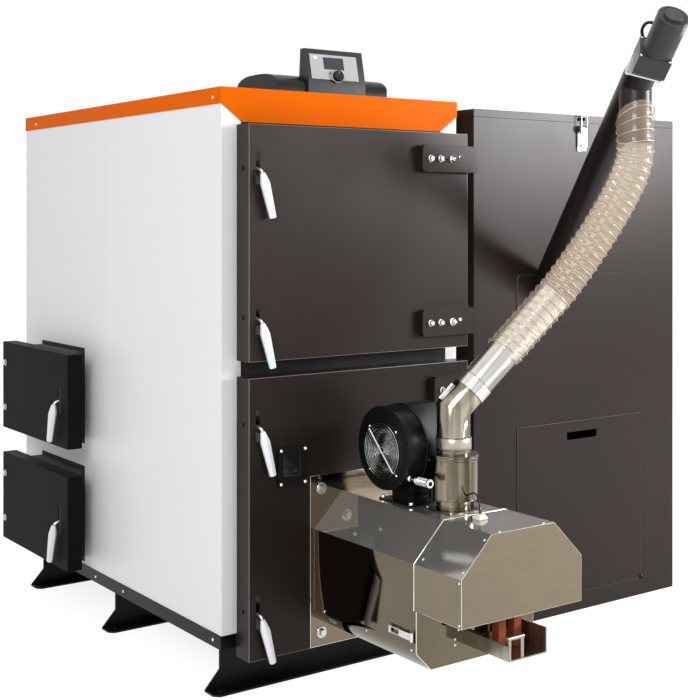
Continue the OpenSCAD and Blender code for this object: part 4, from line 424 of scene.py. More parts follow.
def front_plane(x, y, z):
    """A matrix that stands a drawing up: its X to the right, its Y up and its Z to the front."""
    return Matrix(((1, 0, 0, x), (0, 0, -1, y), (0, 1, 0, z), (0, 0, 0, 1)))


def wall(b, lower, upper):
    """Joins two closed rings of points with faces."""
    n = len(lower)
    for k in range(n):
        b.faces.new((lower[k], lower[(k + 1) % n], upper[(k + 1) % n], upper[k]))


def closed(b, rings):
    """Joins rings of points into a closed body."""
    for lower, upper in zip(rings, rings[1:]):
        wall(b, lower, upper)
    b.faces.new(rings[0][::-1])
    b.faces.new(rings[-1])
    return b


def circle(n, phase=0.0):
    """Cosine and sine of n even steps round a turn."""
    turn = [phase + 2 * math.pi * k / n for k in range(n)]
    return [(math.cos(a), math.sin(a)) for a in turn]


def block(lo, hi, bevel=0.0, segs=2):
    """A box between two corners, in metres, with edges rounded by bevel millimetres."""
    b = bmesh.new()
    lo, hi = Vector(lo), Vector(hi)
    bmesh.ops.create_cube(b, size=1.0)
    size, mid = hi - lo, (hi + lo) / 2
    for v in b.verts:
        v.co = v.co * size + mid
    if bevel:
        bmesh.ops.bevel(b, geom=list(b.edges), offset=mm(bevel), segments=segs, affect="EDGES",
                        profile=BEVEL_PROFILE)
    return b


def lathe(profile, segs=32, phase=0.0):
    """Turns (radius, height) pairs in millimetres round +Z; closed at both ends."""
    b = bmesh.new()
    return closed(b, [[b.verts.new((mm(r) * c, mm(r) * s, mm(z))) for c, s in circle(segs, phase)]
                      for r, z in profile])


def prism(outline, h, bevel=0.0):
    """Extrudes a 2D outline, in metres, to h millimetres, with rounded edges."""
    b = bmesh.new()
    low, top = [[b.verts.new((x, y, z)) for x, y in outline] for z in (0, mm(h))]
    b.faces.new(low[::-1])
    b.faces.new(top)
    wall(b, low, top)
    if bevel:
        rim = [e for e in b.edges if abs(e.verts[0].co.z - e.verts[1].co.z) < 1e-9]
        bmesh.ops.bevel(b, geom=rim, offset=mm(bevel), segments=2, affect="EDGES",
                        profile=BEVEL_PROFILE)
    return b


def round_rect(w, h, r, n=5):
    """The outline in metres of a w by h rectangle with corners of radius r, in millimetres."""
    pts = []
    for cx, cy, a0 in ((w - r, h - r, 0), (r, h - r, 90), (r, r, 180), (w - r, r, 270)):
        for k in range(n + 1):
            a = math.radians(a0 + 90 * k / n)
            pts.append((mm(cx + r * math.cos(a)), mm(cy + r * math.sin(a))))
    return pts


def tube(points, r, sides=12):
    """A tube of radius r millimetres along points, with a frame carried along without twist."""
    b = bmesh.new()
    pts = [Vector(p) for p in points]
    prev = (pts[1] - pts[0]).normalized()
    u = prev.orthogonal().normalized()
    rings = []
    for i, p in enumerate(pts):
        t = (pts[min(i + 1, len(pts) - 1)] - pts[max(i - 1, 0)]).normalized()
        u.rotate(prev.rotation_difference(t))
        u = (u - t * u.dot(t)).normalized()
        prev = t
        v = t.cross(u)
        rings.append([b.verts.new(p + mm(r) * (c * u + s * v)) for c, s in circle(sides)])
    return closed(b, rings)


def ring(big, small, n=56, m=8):
    """A ring round +Z of radius big, made of wire of radius small, in millimetres."""
    b = bmesh.new()
    loops = [[b.verts.new((mm(big + small * p) * c, mm(big + small * p) * s, mm(small * q)))
              for p, q in circle(m)] for c, s in circle(n)]
    for lower, upper in zip(loops, loops[1:] + loops[:1]):
        wall(b, lower, upper)
    return b


def smooth_path(points, per=6):
    """Catmull-Rom points through the given ones."""
    pts = [Vector(p) for p in points]
    pts = [2 * pts[0] - pts[1]] + pts + [2 * pts[-1] - pts[-2]]
    out = []
    for i in range(1, len(pts) - 2):
        a, b, c, d = pts[i - 1:i + 3]
        for k in range(per):
            t = k / per
            out.append(0.5 * ((2 * b) + (c - a) * t + (2 * a - 5 * b + 4 * c - d) * t * t
                              + (3 * b - a - 3 * c + d) * t ** 3))
    out.append(pts[-2])
    return out


def dress(node, mats=None, choose=None, width=1.2, shortest=0.03, segs=2, angle=50, rim=None):
    """A copy of a CAD node with rounded long edges and a material for each face.

    choose gives a face's material from its middle and normal, width is the rounding in
    millimetres, shortest the least length of a rounded edge in metres, and rim the
    material of the roundings."""
    b = bmesh.new()
    b.from_mesh(NODES[node].data)
    bmesh.ops.remove_doubles(b, verts=b.verts, dist=MERGE)
    bmesh.ops.dissolve_limit(b, angle_limit=math.radians(FLAT_ANGLE), verts=b.verts, edges=b.edges)
    b.normal_update()
    folds = []
    if width:
        sel = [e for e in b.edges if len(e.link_faces) == 2 and e.calc_length() > shortest
               and e.calc_face_angle(0) > math.radians(angle)]
        if sel:
            folds = bmesh.ops.bevel(b, geom=sel, offset=mm(width), segments=segs, affect="EDGES",
                                    profile=BEVEL_PROFILE, clamp_overlap=True)["faces"]
    mats = mats or [OVERRIDE.get(node, SLOT_MATERIAL[SLOT_OF[node]])]
    for f in b.faces:
        f.material_index = choose(f.calc_center_median(), f.normal) if choose else 0
    if rim is not None:
        for f in folds:
            f.material_index = rim
    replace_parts(finish_mesh(node + "_skin", b, mats, BODY_OF[node]), node)


def add_hex(bm, place, axis, r, h, mat=0, washer=None, stud=0.0):
    """Hexagon head with a chamfered top, a washer under it and a stud end over it."""
    f = frame_z(place, axis)
    base = 0.0
    if washer:
        w, base = washer
        rim = [(0.55 * w, 0), (w, 0), (w, 0.7 * base), (0.96 * w, base), (0.55 * w, base)]
        take(bm, lathe(rim), f, mat)
    g = f @ Matrix.Translation(V(0, 0, base))
    take(bm, lathe([(r, 0), (r, 0.78 * h), (0.88 * r, h), (0.5 * r, h)], 6, 0.3), g, mat)
    if stud:
        end = h + stud
        take(bm, lathe([(0.55 * r, 0), (0.55 * r, end - 1), (0.44 * r, end)], 20), g, mat)


def add_dome(bm, place, axis, r, h, mat=0):
    """Round head screw with a round socket."""
    shares = ((1, 0), (1, 0.3), (0.9, 0.65), (0.7, 0.9), (0.48, 1), (0.42, 1), (0.38, 0.35))
    take(bm, lathe([(r * p, h * q) for p, q in shares], 18), frame_z(place, axis), mat)


# Dressed nodes
for n in ("top_cover", "left_front_panel", "left_rear_panel", "hopper_body", "hopper_lid",
          "controller_base", "controller_housing"):
    dress(n)
dress("controller_face", width=1)
dress("blower_scroll", width=1.6, shortest=0.004, angle=60)
# The doors' and the hopper door's rounded folds take the lighter paint, a painted highlight
for n in ("upper_door_shell", "lower_door_shell"):
    dress(n, [OVERRIDE.get(n, "charcoal"), "fold_highlight"], rim=1, width=1.4, shortest=0.3)
dress("hopper_door", ["charcoal", "fold_highlight"], rim=1, width=1, shortest=0.2)
# The burner's folds take the bright metal, a painted highlight. Faces that look up take the lighter
# copy of the stainless, painted light, and the casing's sides the darker copy, painted shade
for n, kind in (("burner_flange", "steel"), ("burner_casing", "steel_shaded_side"), ("burner_hood", "steel")):
    dress(n, [kind, "edge", "steel_lit_top"], lambda c, n: 2 if n.z > 0.3 else 0, rim=1, width=1.1)

# Screws of the orange cover and of the sill under the panels
COVER_SCREWS_Z, COVER_SCREWS_Y = 1475.2, (38, 1166)
SILL_SCREWS_Z, SILL_SCREWS_Y = 138, (38, 539, 719, 1166)
bm = bmesh.new()
for axis, x in ((LEFT, 0), (RIGHT, 2 * HALF_W)):
    for z, places in ((COVER_SCREWS_Z, COVER_SCREWS_Y), (SILL_SCREWS_Z, SILL_SCREWS_Y)):
        for y in places:
            add_dome(bm, P(x, y, z), axis, 4.6, 2.6)
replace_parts(finish_mesh("casing_screw_heads", bm, ["zinc"], "boiler"), "casing_screws")

# Dark lining round the necks behind the side panel, partly a liner and partly painted shade in the
# recess: strips from the necks' walls outwards
LOWER_NECK, UPPER_NECK = 169, 517
BACK_Y, WALL_BACK, WALL_FRONT, FRONT_Y = 1130, 1112.5, 811.5, 786
LOW_Z, WALL_LOW, WALL_HIGH, HIGH_Z = -12, 5.6, 264.4, 282
bm = bmesh.new()
for z in (LOWER_NECK, UPPER_NECK):
    for y0, y1, z0, z1 in ((FRONT_Y, BACK_Y, LOW_Z, WALL_LOW), (FRONT_Y, BACK_Y, WALL_HIGH, HIGH_Z),
                           (FRONT_Y, WALL_FRONT, WALL_LOW, WALL_HIGH),
                           (WALL_BACK, BACK_Y, WALL_LOW, WALL_HIGH)):
        take(bm, block(P(3.4, y0, z + z0), P(4.4, y1, z + z1)))
finish_mesh("neck_shade_sheet", bm, ["dark"], "boiler")

# Burner: its middle, half width, top and slanted corners, and the feed pipe's place. Its bolts
# and screws stand on the flange, the hood, the casing, the fan's foot and the feed's foot.
BURNER_X, BURNER_HALF, BURNER_TOP, TOP_CUT, FEED_Y = 397.5, 179.5, 491.2, 85.5, -408
FLANGE_FACE, HOOD_Y, HOOD_HALF, HOOD_TOP, TRAY_FACE = -86.3, -639.3, 181.3, 491.8, -490.3
# Radius and height of a small screw's head
SMALL = (3.4, 2.2)
bm = bmesh.new()
for x in (-157.5, 157.5):
    for z in (144, 503):
        add_hex(bm, P(BURNER_X + x, FLANGE_FACE, z), FRONT, 10, 8, washer=(14.5, 2.2))
for x in (-66.4, 66.4):
    add_dome(bm, P(BURNER_X + x, HOOD_Y, HOOD_TOP), UP, *SMALL)
for z in (307, 397.5):
    add_dome(bm, P(BURNER_X - HOOD_HALF, HOOD_Y, z), LEFT, *SMALL)
    add_dome(bm, P(BURNER_X + HOOD_HALF, HOOD_Y, z), RIGHT, *SMALL)
for y in (-130.7, -304.5, -474.1):
    add_dome(bm, P(BURNER_X - BURNER_HALF, y, 210), LEFT, *SMALL)
for y in (-222, -331):
    for x in (-67.5, 67.5):
        add_hex(bm, P(BURNER_X + x, y, 494), UP, 5, 4, washer=(6.5, 1.2))
for y in (-42, 42):
    for x in (-45, 45):
        add_dome(bm, P(BURNER_X + x, FEED_Y + y, 493), UP, 3.2, 2.2)
for x, z in ((341.9, 236.7), (331.1, 216.9), (331.1, 203.8)):
    add_dome(bm, P(x, TRAY_FACE, z), FRONT, *SMALL)
for t, y in ((0.14, -637), (0.86, -637), (0.14, -502)):
    for s in (-1, 1):
        x = BURNER_X + s * (BURNER_HALF + 1.4 - TOP_CUT * t)
        add_dome(bm, P(x, y, BURNER_TOP - TOP_CUT * (1 - t)), (s, 0, 1), *SMALL)
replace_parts(finish_mesh("burner_screws", bm, ["zinc"], "lower_door"), "burner_bolts")

# Rolled rear edge of the burner's hood, round its slanted corners, in the bright metal: a painted
# highlight along the seam
HOOD_CUT = 86.6
lo, hi = (Vector(v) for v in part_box("burner_hood"))
cut = mm(HOOD_CUT)
edge = [(lo.x, lo.z), (lo.x, hi.z - cut), (lo.x + cut, hi.z), (hi.x - cut, hi.z), (hi.x, hi.z - cut),
        (hi.x, lo.z)]
bm = bmesh.new()
take(bm, tube([(x, hi.y, z) for x, z in edge], 1.3, 10))
finish_mesh("hood_seam_highlight", bm, ["edge"], "lower_door", smooth=60)

# Sight port: bezel, glass and four screws
GLASS_LO, GLASS_HI = P(119.5, -85.5, 528), P(188, 0, 608)


def port(c, n):
    """Glass inside the bezel."""
    glass = c.y > GLASS_LO.y and GLASS_LO.x < c.x < GLASS_HI.x and GLASS_LO.z < c.z < GLASS_HI.z
    return 1 if glass else 0


dress("sight_port", ["black", "glass"], port, width=0.8)
bm = bmesh.new()
for x in (118.5, 189):
    for z in (527, 609):
        add_dome(bm, P(x, -89.3, z), FRONT, 4.4, 2.8)
finish_mesh("sight_port_screws", bm, ["chrome"], "lower_door")


# Igniter: tray of bright sheet and two clay blocks
def ignite(c, n):
    """Clay on the two blocks' faces over the tray."""
    p = local(c)
    block_at = 427 < p.x < 450 or 475 < p.x < 498
    return 1 if block_at and -533 < p.y < -509.8 and p.z > 185.5 else 0


dress("igniter_unit", ["sleeve", "brick"], ignite, width=0.6, shortest=0.02)

# Toggle latch on the burner's side: knuckle, lever, wire loop and hook
bm = bmesh.new()
knuckle = frame_z(P(211.5, -481.8, 230.6), UP)
take(bm, lathe([(3.6, 0), (4.2, 0.6), (4.2, 20.2), (3.6, 20.8)], 24), knuckle)
take(bm, block(P(209.6, -482, 233), P(213.4, -436, 249), 1.2))
for z in (234.5, 247.5):
    take(bm, tube([P(211.4, -440, z), P(211.2, -404, z)], 1.4, 8))
take(bm, tube([P(211.2, -404, 233.5), P(211.2, -404, 248.5)], 1.6, 8))
take(bm, block(P(209.8, -403, 233), P(213.4, -399, 249), 0.8))
for y in (-474, -446):
    add_dome(bm, P(209.8, y, 241), LEFT, 2.4, 1.4)
latch = finish_mesh("latch_toggle", bm, ["zinc"], BODY_OF["burner_latch"])
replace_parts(latch, "burner_latch")

# Leads: one under the hood, and one from its ceramic foot to the feed drum
bm = bmesh.new()
LEAD_Y, LEAD_Z = -494.1, 238
route = [(-100, 20), (-80, 15), (-60, 9), (-40, 0), (-20, -10), (4, -19)]
take(bm, tube(smooth_path([P(BURNER_X + x, LEAD_Y, LEAD_Z + z) for x, z in route]), 3.4, 14))
FOOT_X, FOOT_Y, DRUM_R, LEAD_GAP = 375, -527, 57.5, 0.3
aside, back = BURNER_X - FOOT_X, FEED_Y - FOOT_Y
bearing = math.atan2(back, aside)
run = math.hypot(aside, back) - DRUM_R - LEAD_GAP
base = P(FOOT_X, FOOT_Y, 503.8)
rise = [(0, 0), (2, 16), (8, 32), (20, 42), (36, 40), (50, 34), (run, 30)]
arc = [base + V(s * math.cos(bearing), s * math.sin(bearing), z) for s, z in rise]
take(bm, tube(smooth_path(arc), 1.9, 12))
take(bm, block(P(362, -540, 491.8), P(388, -514, 499), 2.5, 3), None, 1)
take(bm, block(P(365.5, -536.5, 499), P(384.5, -517.5, 503.8), 1.5, 3), None, 1)
leads = finish_mesh("burner_cables", bm, ["cable", "ceramic"], "lower_door")
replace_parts(leads, "burner_leads")


# Handles
# Sections of a grip: share of its length, half width and half depth
GRIP_L = 113
GRIP = ((0.0, 5.2, 5.2), (0.012, 6.4, 6.4), (0.21, 12.6, 10.6), (0.25, 13.0, 11.0),
        (0.97, 9.4, 8.2), (0.992, 9.0, 7.8), (1.0, 7.6, 6.6))


def handle(node, origin, turn, lean):
    """Rod, hub, catch arm and a six sided grip, turned about +Z and leaning, in degrees."""
    a = math.radians(lean)
    d = Vector((math.sin(a), 0, -math.cos(a)))
    top = V(0, -48, 0) + d * mm(13)
    m = Matrix.Translation(origin) @ Matrix.Rotation(math.radians(turn), 4, "Z")
    bm = bmesh.new()
    rod = [V(0, 2, 0), V(0, -20, 0), V(0, -35, -2.5), d * mm(7) + V(0, -45, -1), top + d * mm(6)]
    take(bm, tube(smooth_path(rod), 3.8, 14), m)
    take(bm, lathe([(4.1, 0), (8.2, 0), (9, 1), (9, 30), (8.2, 31), (4.1, 31)], 28),
         m @ frame_z(V(-21.5, 0, 0), RIGHT), 1)
    take(bm, block(V(-12, 0, -5), V(-6, 43, 5), 1), m, 1)
    g = bmesh.new()
    hexa = [Vector(p) for p in circle(6)]
    rings = []
    for t, w, dep in GRIP:
        pts = []
        for k in range(6):
            p, q, r = hexa[k - 1], hexa[k], hexa[(k + 1) % 6]
            for c in (q + (p - q) * 0.12, q * 0.975, q + (r - q) * 0.12):
                pts.append((mm(w) * c.x, mm(dep) * c.y / 0.866))
        rings.append([g.verts.new((x, y, t * mm(GRIP_L))) for x, y in pts])
    take(bm, closed(g, rings), m @ frame_z(top, d, (0.72, -0.69, 0)), 2)
    o = finish_mesh(node + "_grip", bm, ["zinc", "black", "grip"], node, smooth=24)
    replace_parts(o, node)


# Where a front handle's rod leaves its door, and a side handle's place over its neck
FRONT_AT, SIDE_AT, OVER_NECK = (56, -51), (-61.7, 762), 135
for n, z in (("upper_top_handle", 1299.2), ("upper_bottom_handle", 936.2),
             ("lower_top_handle", 675.7), ("lower_bottom_handle", 222.7)):
    handle(n, P(*FRONT_AT, z), 0, 15)
for n, z in (("upper_side_handle", UPPER_NECK), ("lower_side_handle", LOWER_NECK)):
    handle(n, P(*SIDE_AT, z + OVER_NECK), -90, -15)


# Hinge leaves: right end, front face, height, corner radius and thickness, and the folded
# part's rear face, end and depth
LEAF_X1, LEAF_FACE, LEAF_H, LEAF_R, LEAF_T = 742, -103.3, 71, 10, 5
LEAF_BACK, FOLD_X, FOLD_DEPTH = -82.3, 725, 16.2


def leaf(bm, z, w, bolts):
    """Folded plate with round corners at its free end, bolts, an adjuster and a knuckle."""
    r, h = LEAF_R, LEAF_H
    turns = [(r - r * math.cos(a), r - r * math.sin(a)) for a in map(math.radians, range(0, 91, 15))]
    out = [(0, r)] + [(x, h - y) for x, y in turns] + [(w, h), (w, 0)]
    out += [(y, x) for x, y in turns][:-1]
    left = LEAF_X1 - w
    plate = [(mm(left + x), mm(z + y)) for x, y in out]
    wrap = [(mm(min(left + x, FOLD_X)), mm(z + y)) for x, y in out]
    for outline, depth, bevel, y in ((plate, LEAF_T, 0.8, LEAF_FACE + LEAF_T),
                                     (wrap, FOLD_DEPTH, 0, LEAF_BACK)):
        take(bm, prism(outline, depth, bevel), front_plane(-mm(HALF_W), mm(y - HALF_D), 0))
    take(bm, block(P(734, -98.4, z + 24), P(LEAF_X1, -63.6, z + 47), 0.6))
    knuckle = frame_z(P(738, -63.6, z + 23.7), UP)
    take(bm, lathe([(8.2, 0), (9, 0.8), (9, 22.6), (8.2, 23.4)], 28), knuckle)
    mid = z + h / 2
    for i in range(bolts):
        add_hex(bm, P(left + 26 + 34 * i, LEAF_FACE, mid), FRONT, 7.4, 8, mat=1, washer=(9, 2))
    add_hex(bm, P(LEAF_X1 - 88, LEAF_FACE, mid), FRONT, 8.4, 7, mat=2, washer=(10.5, 2), stud=6)
    add_hex(bm, P(LEAF_X1 - 62, LEAF_FACE, mid + 5), FRONT, 5.4, 3, mat=2)


for door, heights, w, bolts in (("upper", (864.7, 1299.7), 190, 2), ("lower", (142.7, 684.7), 150, 1)):
    bm = bmesh.new()
    for z in heights:
        leaf(bm, z, w, bolts)
    leaves = finish_mesh(door + "_leaves", bm, ["charcoal", "zinc", "chrome"], door + "_door")
    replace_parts(leaves, door + "_hinge_leaves")

# Side doors: outer and inner face of the plate, and the field of the seal behind it
PLATE_OUT, PLATE_IN, SEAL_Y, SEAL_Z = -94, -90.9, (705.5, 1202.5), (3.5, 266.5)
for n, z0 in (("upper_side_door", UPPER_NECK), ("lower_side_door", LOWER_NECK)):
    def pick(c, n, z0=z0):
        """Zinc bolts outside, and seal rope round the inner face."""
        p = local(c)
        if p.x < PLATE_OUT - 0.2:
            return 1
        inside = SEAL_Y[0] < p.y < SEAL_Y[1] and z0 + SEAL_Z[0] < p.z < z0 + SEAL_Z[1]
        return 2 if p.x > PLATE_IN and inside else 0
    dress(n, ["side_black", "zinc", "rope"], pick, width=2, segs=3, shortest=0.04)
    bm = bmesh.new()
    for z in (z0 + 65, z0 + 205):
        add_hex(bm, P(PLATE_OUT, 1185, z), LEFT, 8.2, 6.4, washer=(10, 1.6))
    finish_mesh(n + "_bolts", bm, ["zinc"], n)

# Fan: rims of its housing and of the guard, by x, height, radius and wire radius
FAN_Y, FAN_Z, GUARD_Z = -280, 627, 621
rims = ((340, FAN_Z, 100.5, 2.2), (286.5, FAN_Z, 97.5, 1.6), (285, GUARD_Z, 69, 1.4))
bm = bmesh.new()
for x, z, big, small in rims:
    take(bm, ring(big, small), frame_z(P(x, FAN_Y, z), RIGHT))
finish_mesh("blower_rims", bm, ["fan_black"], "lower_door")

# Guard: ten rings, a bar behind them, four feet and their screws
ALONG_BAR = Vector((0, 0.7071, 0.7071))
ACROSS_BAR = Vector((0, 0.7071, -0.7071))
bm = bmesh.new()
for k in range(10):
    take(bm, ring(65.5 - 6.2 * k, 1.3, 56, 6), frame_z(P(280.4, FAN_Y, GUARD_Z), RIGHT))
c = P(278.6, FAN_Y, GUARD_Z)
take(bm, tube([c - ALONG_BAR * mm(66.5), c + ALONG_BAR * mm(66.5)], 2.0, 10))
for u, x, reach, foot, lean, screw in ((ACROSS_BAR, 282, 64.5, 3, 0, 72),
                                       (ALONG_BAR, 279.6, 65.5, 5.4, 2, 74)):
    for s in (-1, 1):
        c = P(x, FAN_Y, GUARD_Z) + u * s * mm(reach)
        take(bm, tube([c, c + V(foot, 0, 0) + u * s * mm(lean)], 1.3, 8))
        add_dome(bm, P(285, FAN_Y, GUARD_Z) + u * s * mm(screw), LEFT, *SMALL)
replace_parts(finish_mesh("guard_wires", bm, ["chrome"], "lower_door", smooth=60), "blower_guard")

# Sensor on the fan's rim: neck, knurled body and socket
bm = bmesh.new()
f = frame_z(P(297, FAN_Y - 78, FAN_Z - 60), FRONT)
take(bm, lathe([(4.2, 0), (7, 6), (7, 12), (5, 14), (5, 36), (10, 37), (10, 43), (9.6, 44)], 24), f)
for k in range(9):
    z = 44 + 4 * k
    take(bm, lathe([(9.9, z), (10.1, z + 1), (10.1, z + 2.6), (9.2, z + 3.8)], 24), f)
take(bm, lathe([(10.2, 80), (10.6, 81), (10.6, 85), (9, 86), (6, 86), (5.6, 80.5)], 24), f)
finish_mesh("flow_sensor", bm, ["chrome"], "lower_door")

# Feed pipe
# ELBOW is the elbow's frame: its X lies over the level run to the auger's spout. PIPE_DIR runs
# along the inclined pipe in it, and PIPE_OUT points away from the pipe's upper side.
ELBOW_Z, SPOUT_Z, SPOUT_DX, SPOUT_DY, PIPE_RISE = 728, 1439, 461.5, 150, 45
ELBOW_TURN = math.atan2(SPOUT_DY, SPOUT_DX)
ELBOW = Matrix.Translation(P(BURNER_X, FEED_Y, ELBOW_Z)) @ Matrix.Rotation(-ELBOW_TURN, 4, "Z")
FROM_ELBOW = ELBOW.inverted()
PIPE_DIR = Vector((math.sin(math.radians(PIPE_RISE)), 0, math.cos(math.radians(PIPE_RISE))))
PIPE_OUT = Vector((-PIPE_DIR.z, 0, PIPE_DIR.x))
ALONG_PIPE = ELBOW.to_3x3() @ PIPE_DIR
ELBOW_END = 52


def past_elbow(c, n):
    """The lighter copy of the stainless, painted light, on the inclined pipe past the elbow's end."""
    return 1 if (FROM_ELBOW @ c).dot(PIPE_DIR) > mm(ELBOW_END) else 0


dress("feed_elbow", ["elbow", "incline"], past_elbow, width=0)

# Beads and seams of the pipe by height, radius and wire radius, then six screws, then the two
# seams on the inclined pipe
beads = ((618.5, 59.6, 1.6), (519, 57.6, 1.5), (611, 58.2, 1.0), (632.8, 42.2, 0.9),
         (662, 42.2, 0.9), (494.5, 40.6, 1.2), (516, 40.6, 1.0))
bm = bmesh.new()
for z, big, small in beads:
    take(bm, ring(big, small, 64), frame_z(P(BURNER_X, FEED_Y, z), UP))
for a in range(0, 360, 60):
    d = Vector((math.cos(math.radians(a + 20)), math.sin(math.radians(a + 20)), 0))
    add_dome(bm, P(BURNER_X, FEED_Y, 607) + d * mm(57.4), d, 2.6, 1.6)
for s in (52.6, 85.6):
    take(bm, ring(41.7, 0.9, 64), frame_z(ELBOW @ (PIPE_DIR * mm(s)), ALONG_PIPE))
finish_mesh("feed_pipe_beads", bm, ["pipe"], "lower_door", smooth=60)

# Sleeve round the pipe, and the clamp's rod over it
bm = bmesh.new()
take(bm, lathe([(42.05, 634), (42.5, 634.6), (42.5, 660.4), (42.05, 661)], 64),
     Matrix.Translation(P(BURNER_X, FEED_Y, 0)))
finish_mesh("feed_sleeve", bm, ["sleeve"], "lower_door", smooth=60)

bm = bmesh.new()
c = ELBOW @ (PIPE_DIR * mm(-8) + PIPE_OUT * mm(42.5))
take(bm, lathe([(4.6, -0.6), (5.9, 0.4), (5.9, 46), (4.6, 47)], 24), frame_z(c, ALONG_PIPE))
for s in (4, 40):
    collar = frame_z(c + ALONG_PIPE * mm(s), ALONG_PIPE)
    take(bm, lathe([(5.9, 0), (6.6, 0.5), (6.6, 2), (5.9, 2.5)], 24), collar)
finish_mesh("feed_clamp_rod", bm, ["chrome"], "lower_door")

# Hose
# Clear film with a copper coloured wire wound on its crests. In ELBOW the centre line runs
# straight from HOSE_LOW to BEND_LOW, curves to BEND_HIGH and rises straight to HOSE_HIGH.
HOSE_START, HOSE_STRAIGHT, HOSE_RISE, PULL_LOW, PULL_HIGH = 178, 190, 96, 45, 90
STRAIGHT = mm(HOSE_STRAIGHT)
HOSE_LOW = PIPE_DIR * mm(HOSE_START)
BEND_LOW = PIPE_DIR * mm(HOSE_START + HOSE_STRAIGHT)
HOSE_HIGH = V(math.hypot(SPOUT_DX, SPOUT_DY), 0, SPOUT_Z - ELBOW_Z)
BEND_HIGH = HOSE_HIGH - V(0, 0, HOSE_RISE)
PULL_B = BEND_LOW + PIPE_DIR * mm(PULL_LOW)
PULL_C = BEND_HIGH - V(0, 0, PULL_HIGH)
STEPS = 120


def bend(t):
    """The curved part of the centre line, for t from 0 to 1."""
    u = 1 - t
    return BEND_LOW * u ** 3 + PULL_B * 3 * u ** 2 * t + PULL_C * 3 * u * t * t + BEND_HIGH * t ** 3


lengths, BEND_LENGTH = [(0.0, 0.0)], 0.0
for i in range(STEPS):
    BEND_LENGTH += (bend((i + 1) / STEPS) - bend(i / STEPS)).length
    lengths.append((BEND_LENGTH, (i + 1) / STEPS))
TOTAL = mm(HOSE_STRAIGHT + HOSE_RISE) + BEND_LENGTH
TURNS = round(TOTAL / mm(22))
PITCH = TOTAL / TURNS
# The hose's upper end is cut at SPOUT_TILT, a rise for each unit towards SPOUT_BACK.
SPOUT_TILT, AUGER_TURN = 0.646, math.radians(22.5)
SPOUT_BACK = Vector((math.sin(AUGER_TURN - ELBOW_TURN), math.cos(AUGER_TURN - ELBOW_TURN), 0))


def hose_centre(s):
    """The centre line at a length s from its lower end."""
    s = max(0.0, min(TOTAL, s))
    if s < STRAIGHT:
        return HOSE_LOW + PIPE_DIR * s
    if s < STRAIGHT + BEND_LENGTH:
        q = s - STRAIGHT
        for (l0, t0), (l1, t1) in zip(lengths, lengths[1:]):
            if l0 <= q <= l1:
                return bend(t0 + (t1 - t0) * (q - l0) / max(l1 - l0, 1e-9))
        return BEND_HIGH.copy()
    return BEND_HIGH + Vector((0, 0, s - STRAIGHT - BEND_LENGTH))


def hose_point(s, angle, r):
    """A point of the hose; its upper end is cut at a tilt to clear the auger's tube."""
    step = mm(0.5)
    c = hose_centre(s)
    t = (hose_centre(s + step) - hose_centre(s - step)).normalized()
    side = Vector((0, 1, 0))
    u = t.cross(side).normalized()
    p = c + r * (math.cos(angle) * side + math.sin(angle) * u)
    w = max(0.0, 1 - (TOTAL - s) / mm(HOSE_RISE))
    p.z -= SPOUT_TILT * w * (p - c).dot(SPOUT_BACK)
    return ELBOW @ p


# Steps in a turn and round the hose, steps of the wire in a turn, and radii in millimetres
SUB, SIDES, WIRE_SUB = 6, 36, 28
VALLEY_R, CREST_H, WIRE_AT, WIRE_R = 44.2, 2.6, 47.0, 1.15
b = bmesh.new()
rings = []
for i in range(TURNS * SUB + 1):
    s = TOTAL * i / (TURNS * SUB)
    loop = []
    for k in range(SIDES):
        crest = abs((s / PITCH - k / SIDES) % 1.0 - 0.5) * 2
        r = mm(VALLEY_R + CREST_H * crest ** 2.2)
        loop.append(b.verts.new(hose_point(s, 2 * math.pi * k / SIDES, r)))
    rings.append(loop)
for lower, upper in zip(rings, rings[1:]):
    wall(b, lower, upper)
film = finish_mesh("hose_film", b, ["film"], None, smooth=80)
coil = [hose_point(TOTAL * i / (TURNS * WIRE_SUB), 2 * math.pi * i / WIRE_SUB, mm(WIRE_AT))
        for i in range(TURNS * WIRE_SUB + 1)]
wire = finish_mesh("hose_wire", tube(coil, WIRE_R, 6), ["copper"], None, smooth=80)
for o in (film, wire):
    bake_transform(o)
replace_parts(film, "feed_hose")

# Auger motor
# AUGER's +Z runs up the auger from over its spout, and GEARBOX is turned to the gearbox.
AUGER_Z, AUGER_LEAN = 1507, 48
AUGER = (Matrix.Translation(P(BURNER_X + SPOUT_DX, FEED_Y - SPOUT_DY, AUGER_Z))
      @ Matrix.Rotation(-AUGER_TURN, 4, "Z") @ Matrix.Rotation(math.radians(AUGER_LEAN), 4, "X"))
GEARBOX = AUGER @ Matrix.Rotation(math.radians(-20), 4, "Z")
FROM_GEARBOX = GEARBOX.inverted()
GEARBOX_UP = GEARBOX.to_3x3() @ Vector(UP)
MOTOR_X = 17
MOTOR = GEARBOX @ Matrix.Translation(V(MOTOR_X, 0, 0))
bm = bmesh.new()
lead = [(0, 40), (-14, 42), (-24, 34), (-26, 16), (-18, -2), (-2, -14)]
take(bm, tube(smooth_path([GEARBOX @ V(MOTOR_X - 21.3 + x, 44.3, 118 + z) for x, z in lead]), 3.9, 14))
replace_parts(finish_mesh("motor_cable", bm, ["cable"], "boiler"), "motor_lead")
dress("auger_gearmotor", ["motor", "alu"], lambda c, n: 1 if (FROM_GEARBOX @ c).z < mm(64.1) else 0,
      width=2.2, shortest=0.006, segs=3, angle=60)
bm = bmesh.new()
for z, r in ((206, 38.9), (216, 38.9), (120, 39.2)):
    take(bm, lathe([(r - 1.5, z), (r, z + 0.8), (r, z + 3.2), (r - 1.5, z + 4)], 48), MOTOR)
for r in (33, 28):
    take(bm, ring(r, 1.0), frame_z(GEARBOX @ V(MOTOR_X, 0, 223.2), GEARBOX_UP))
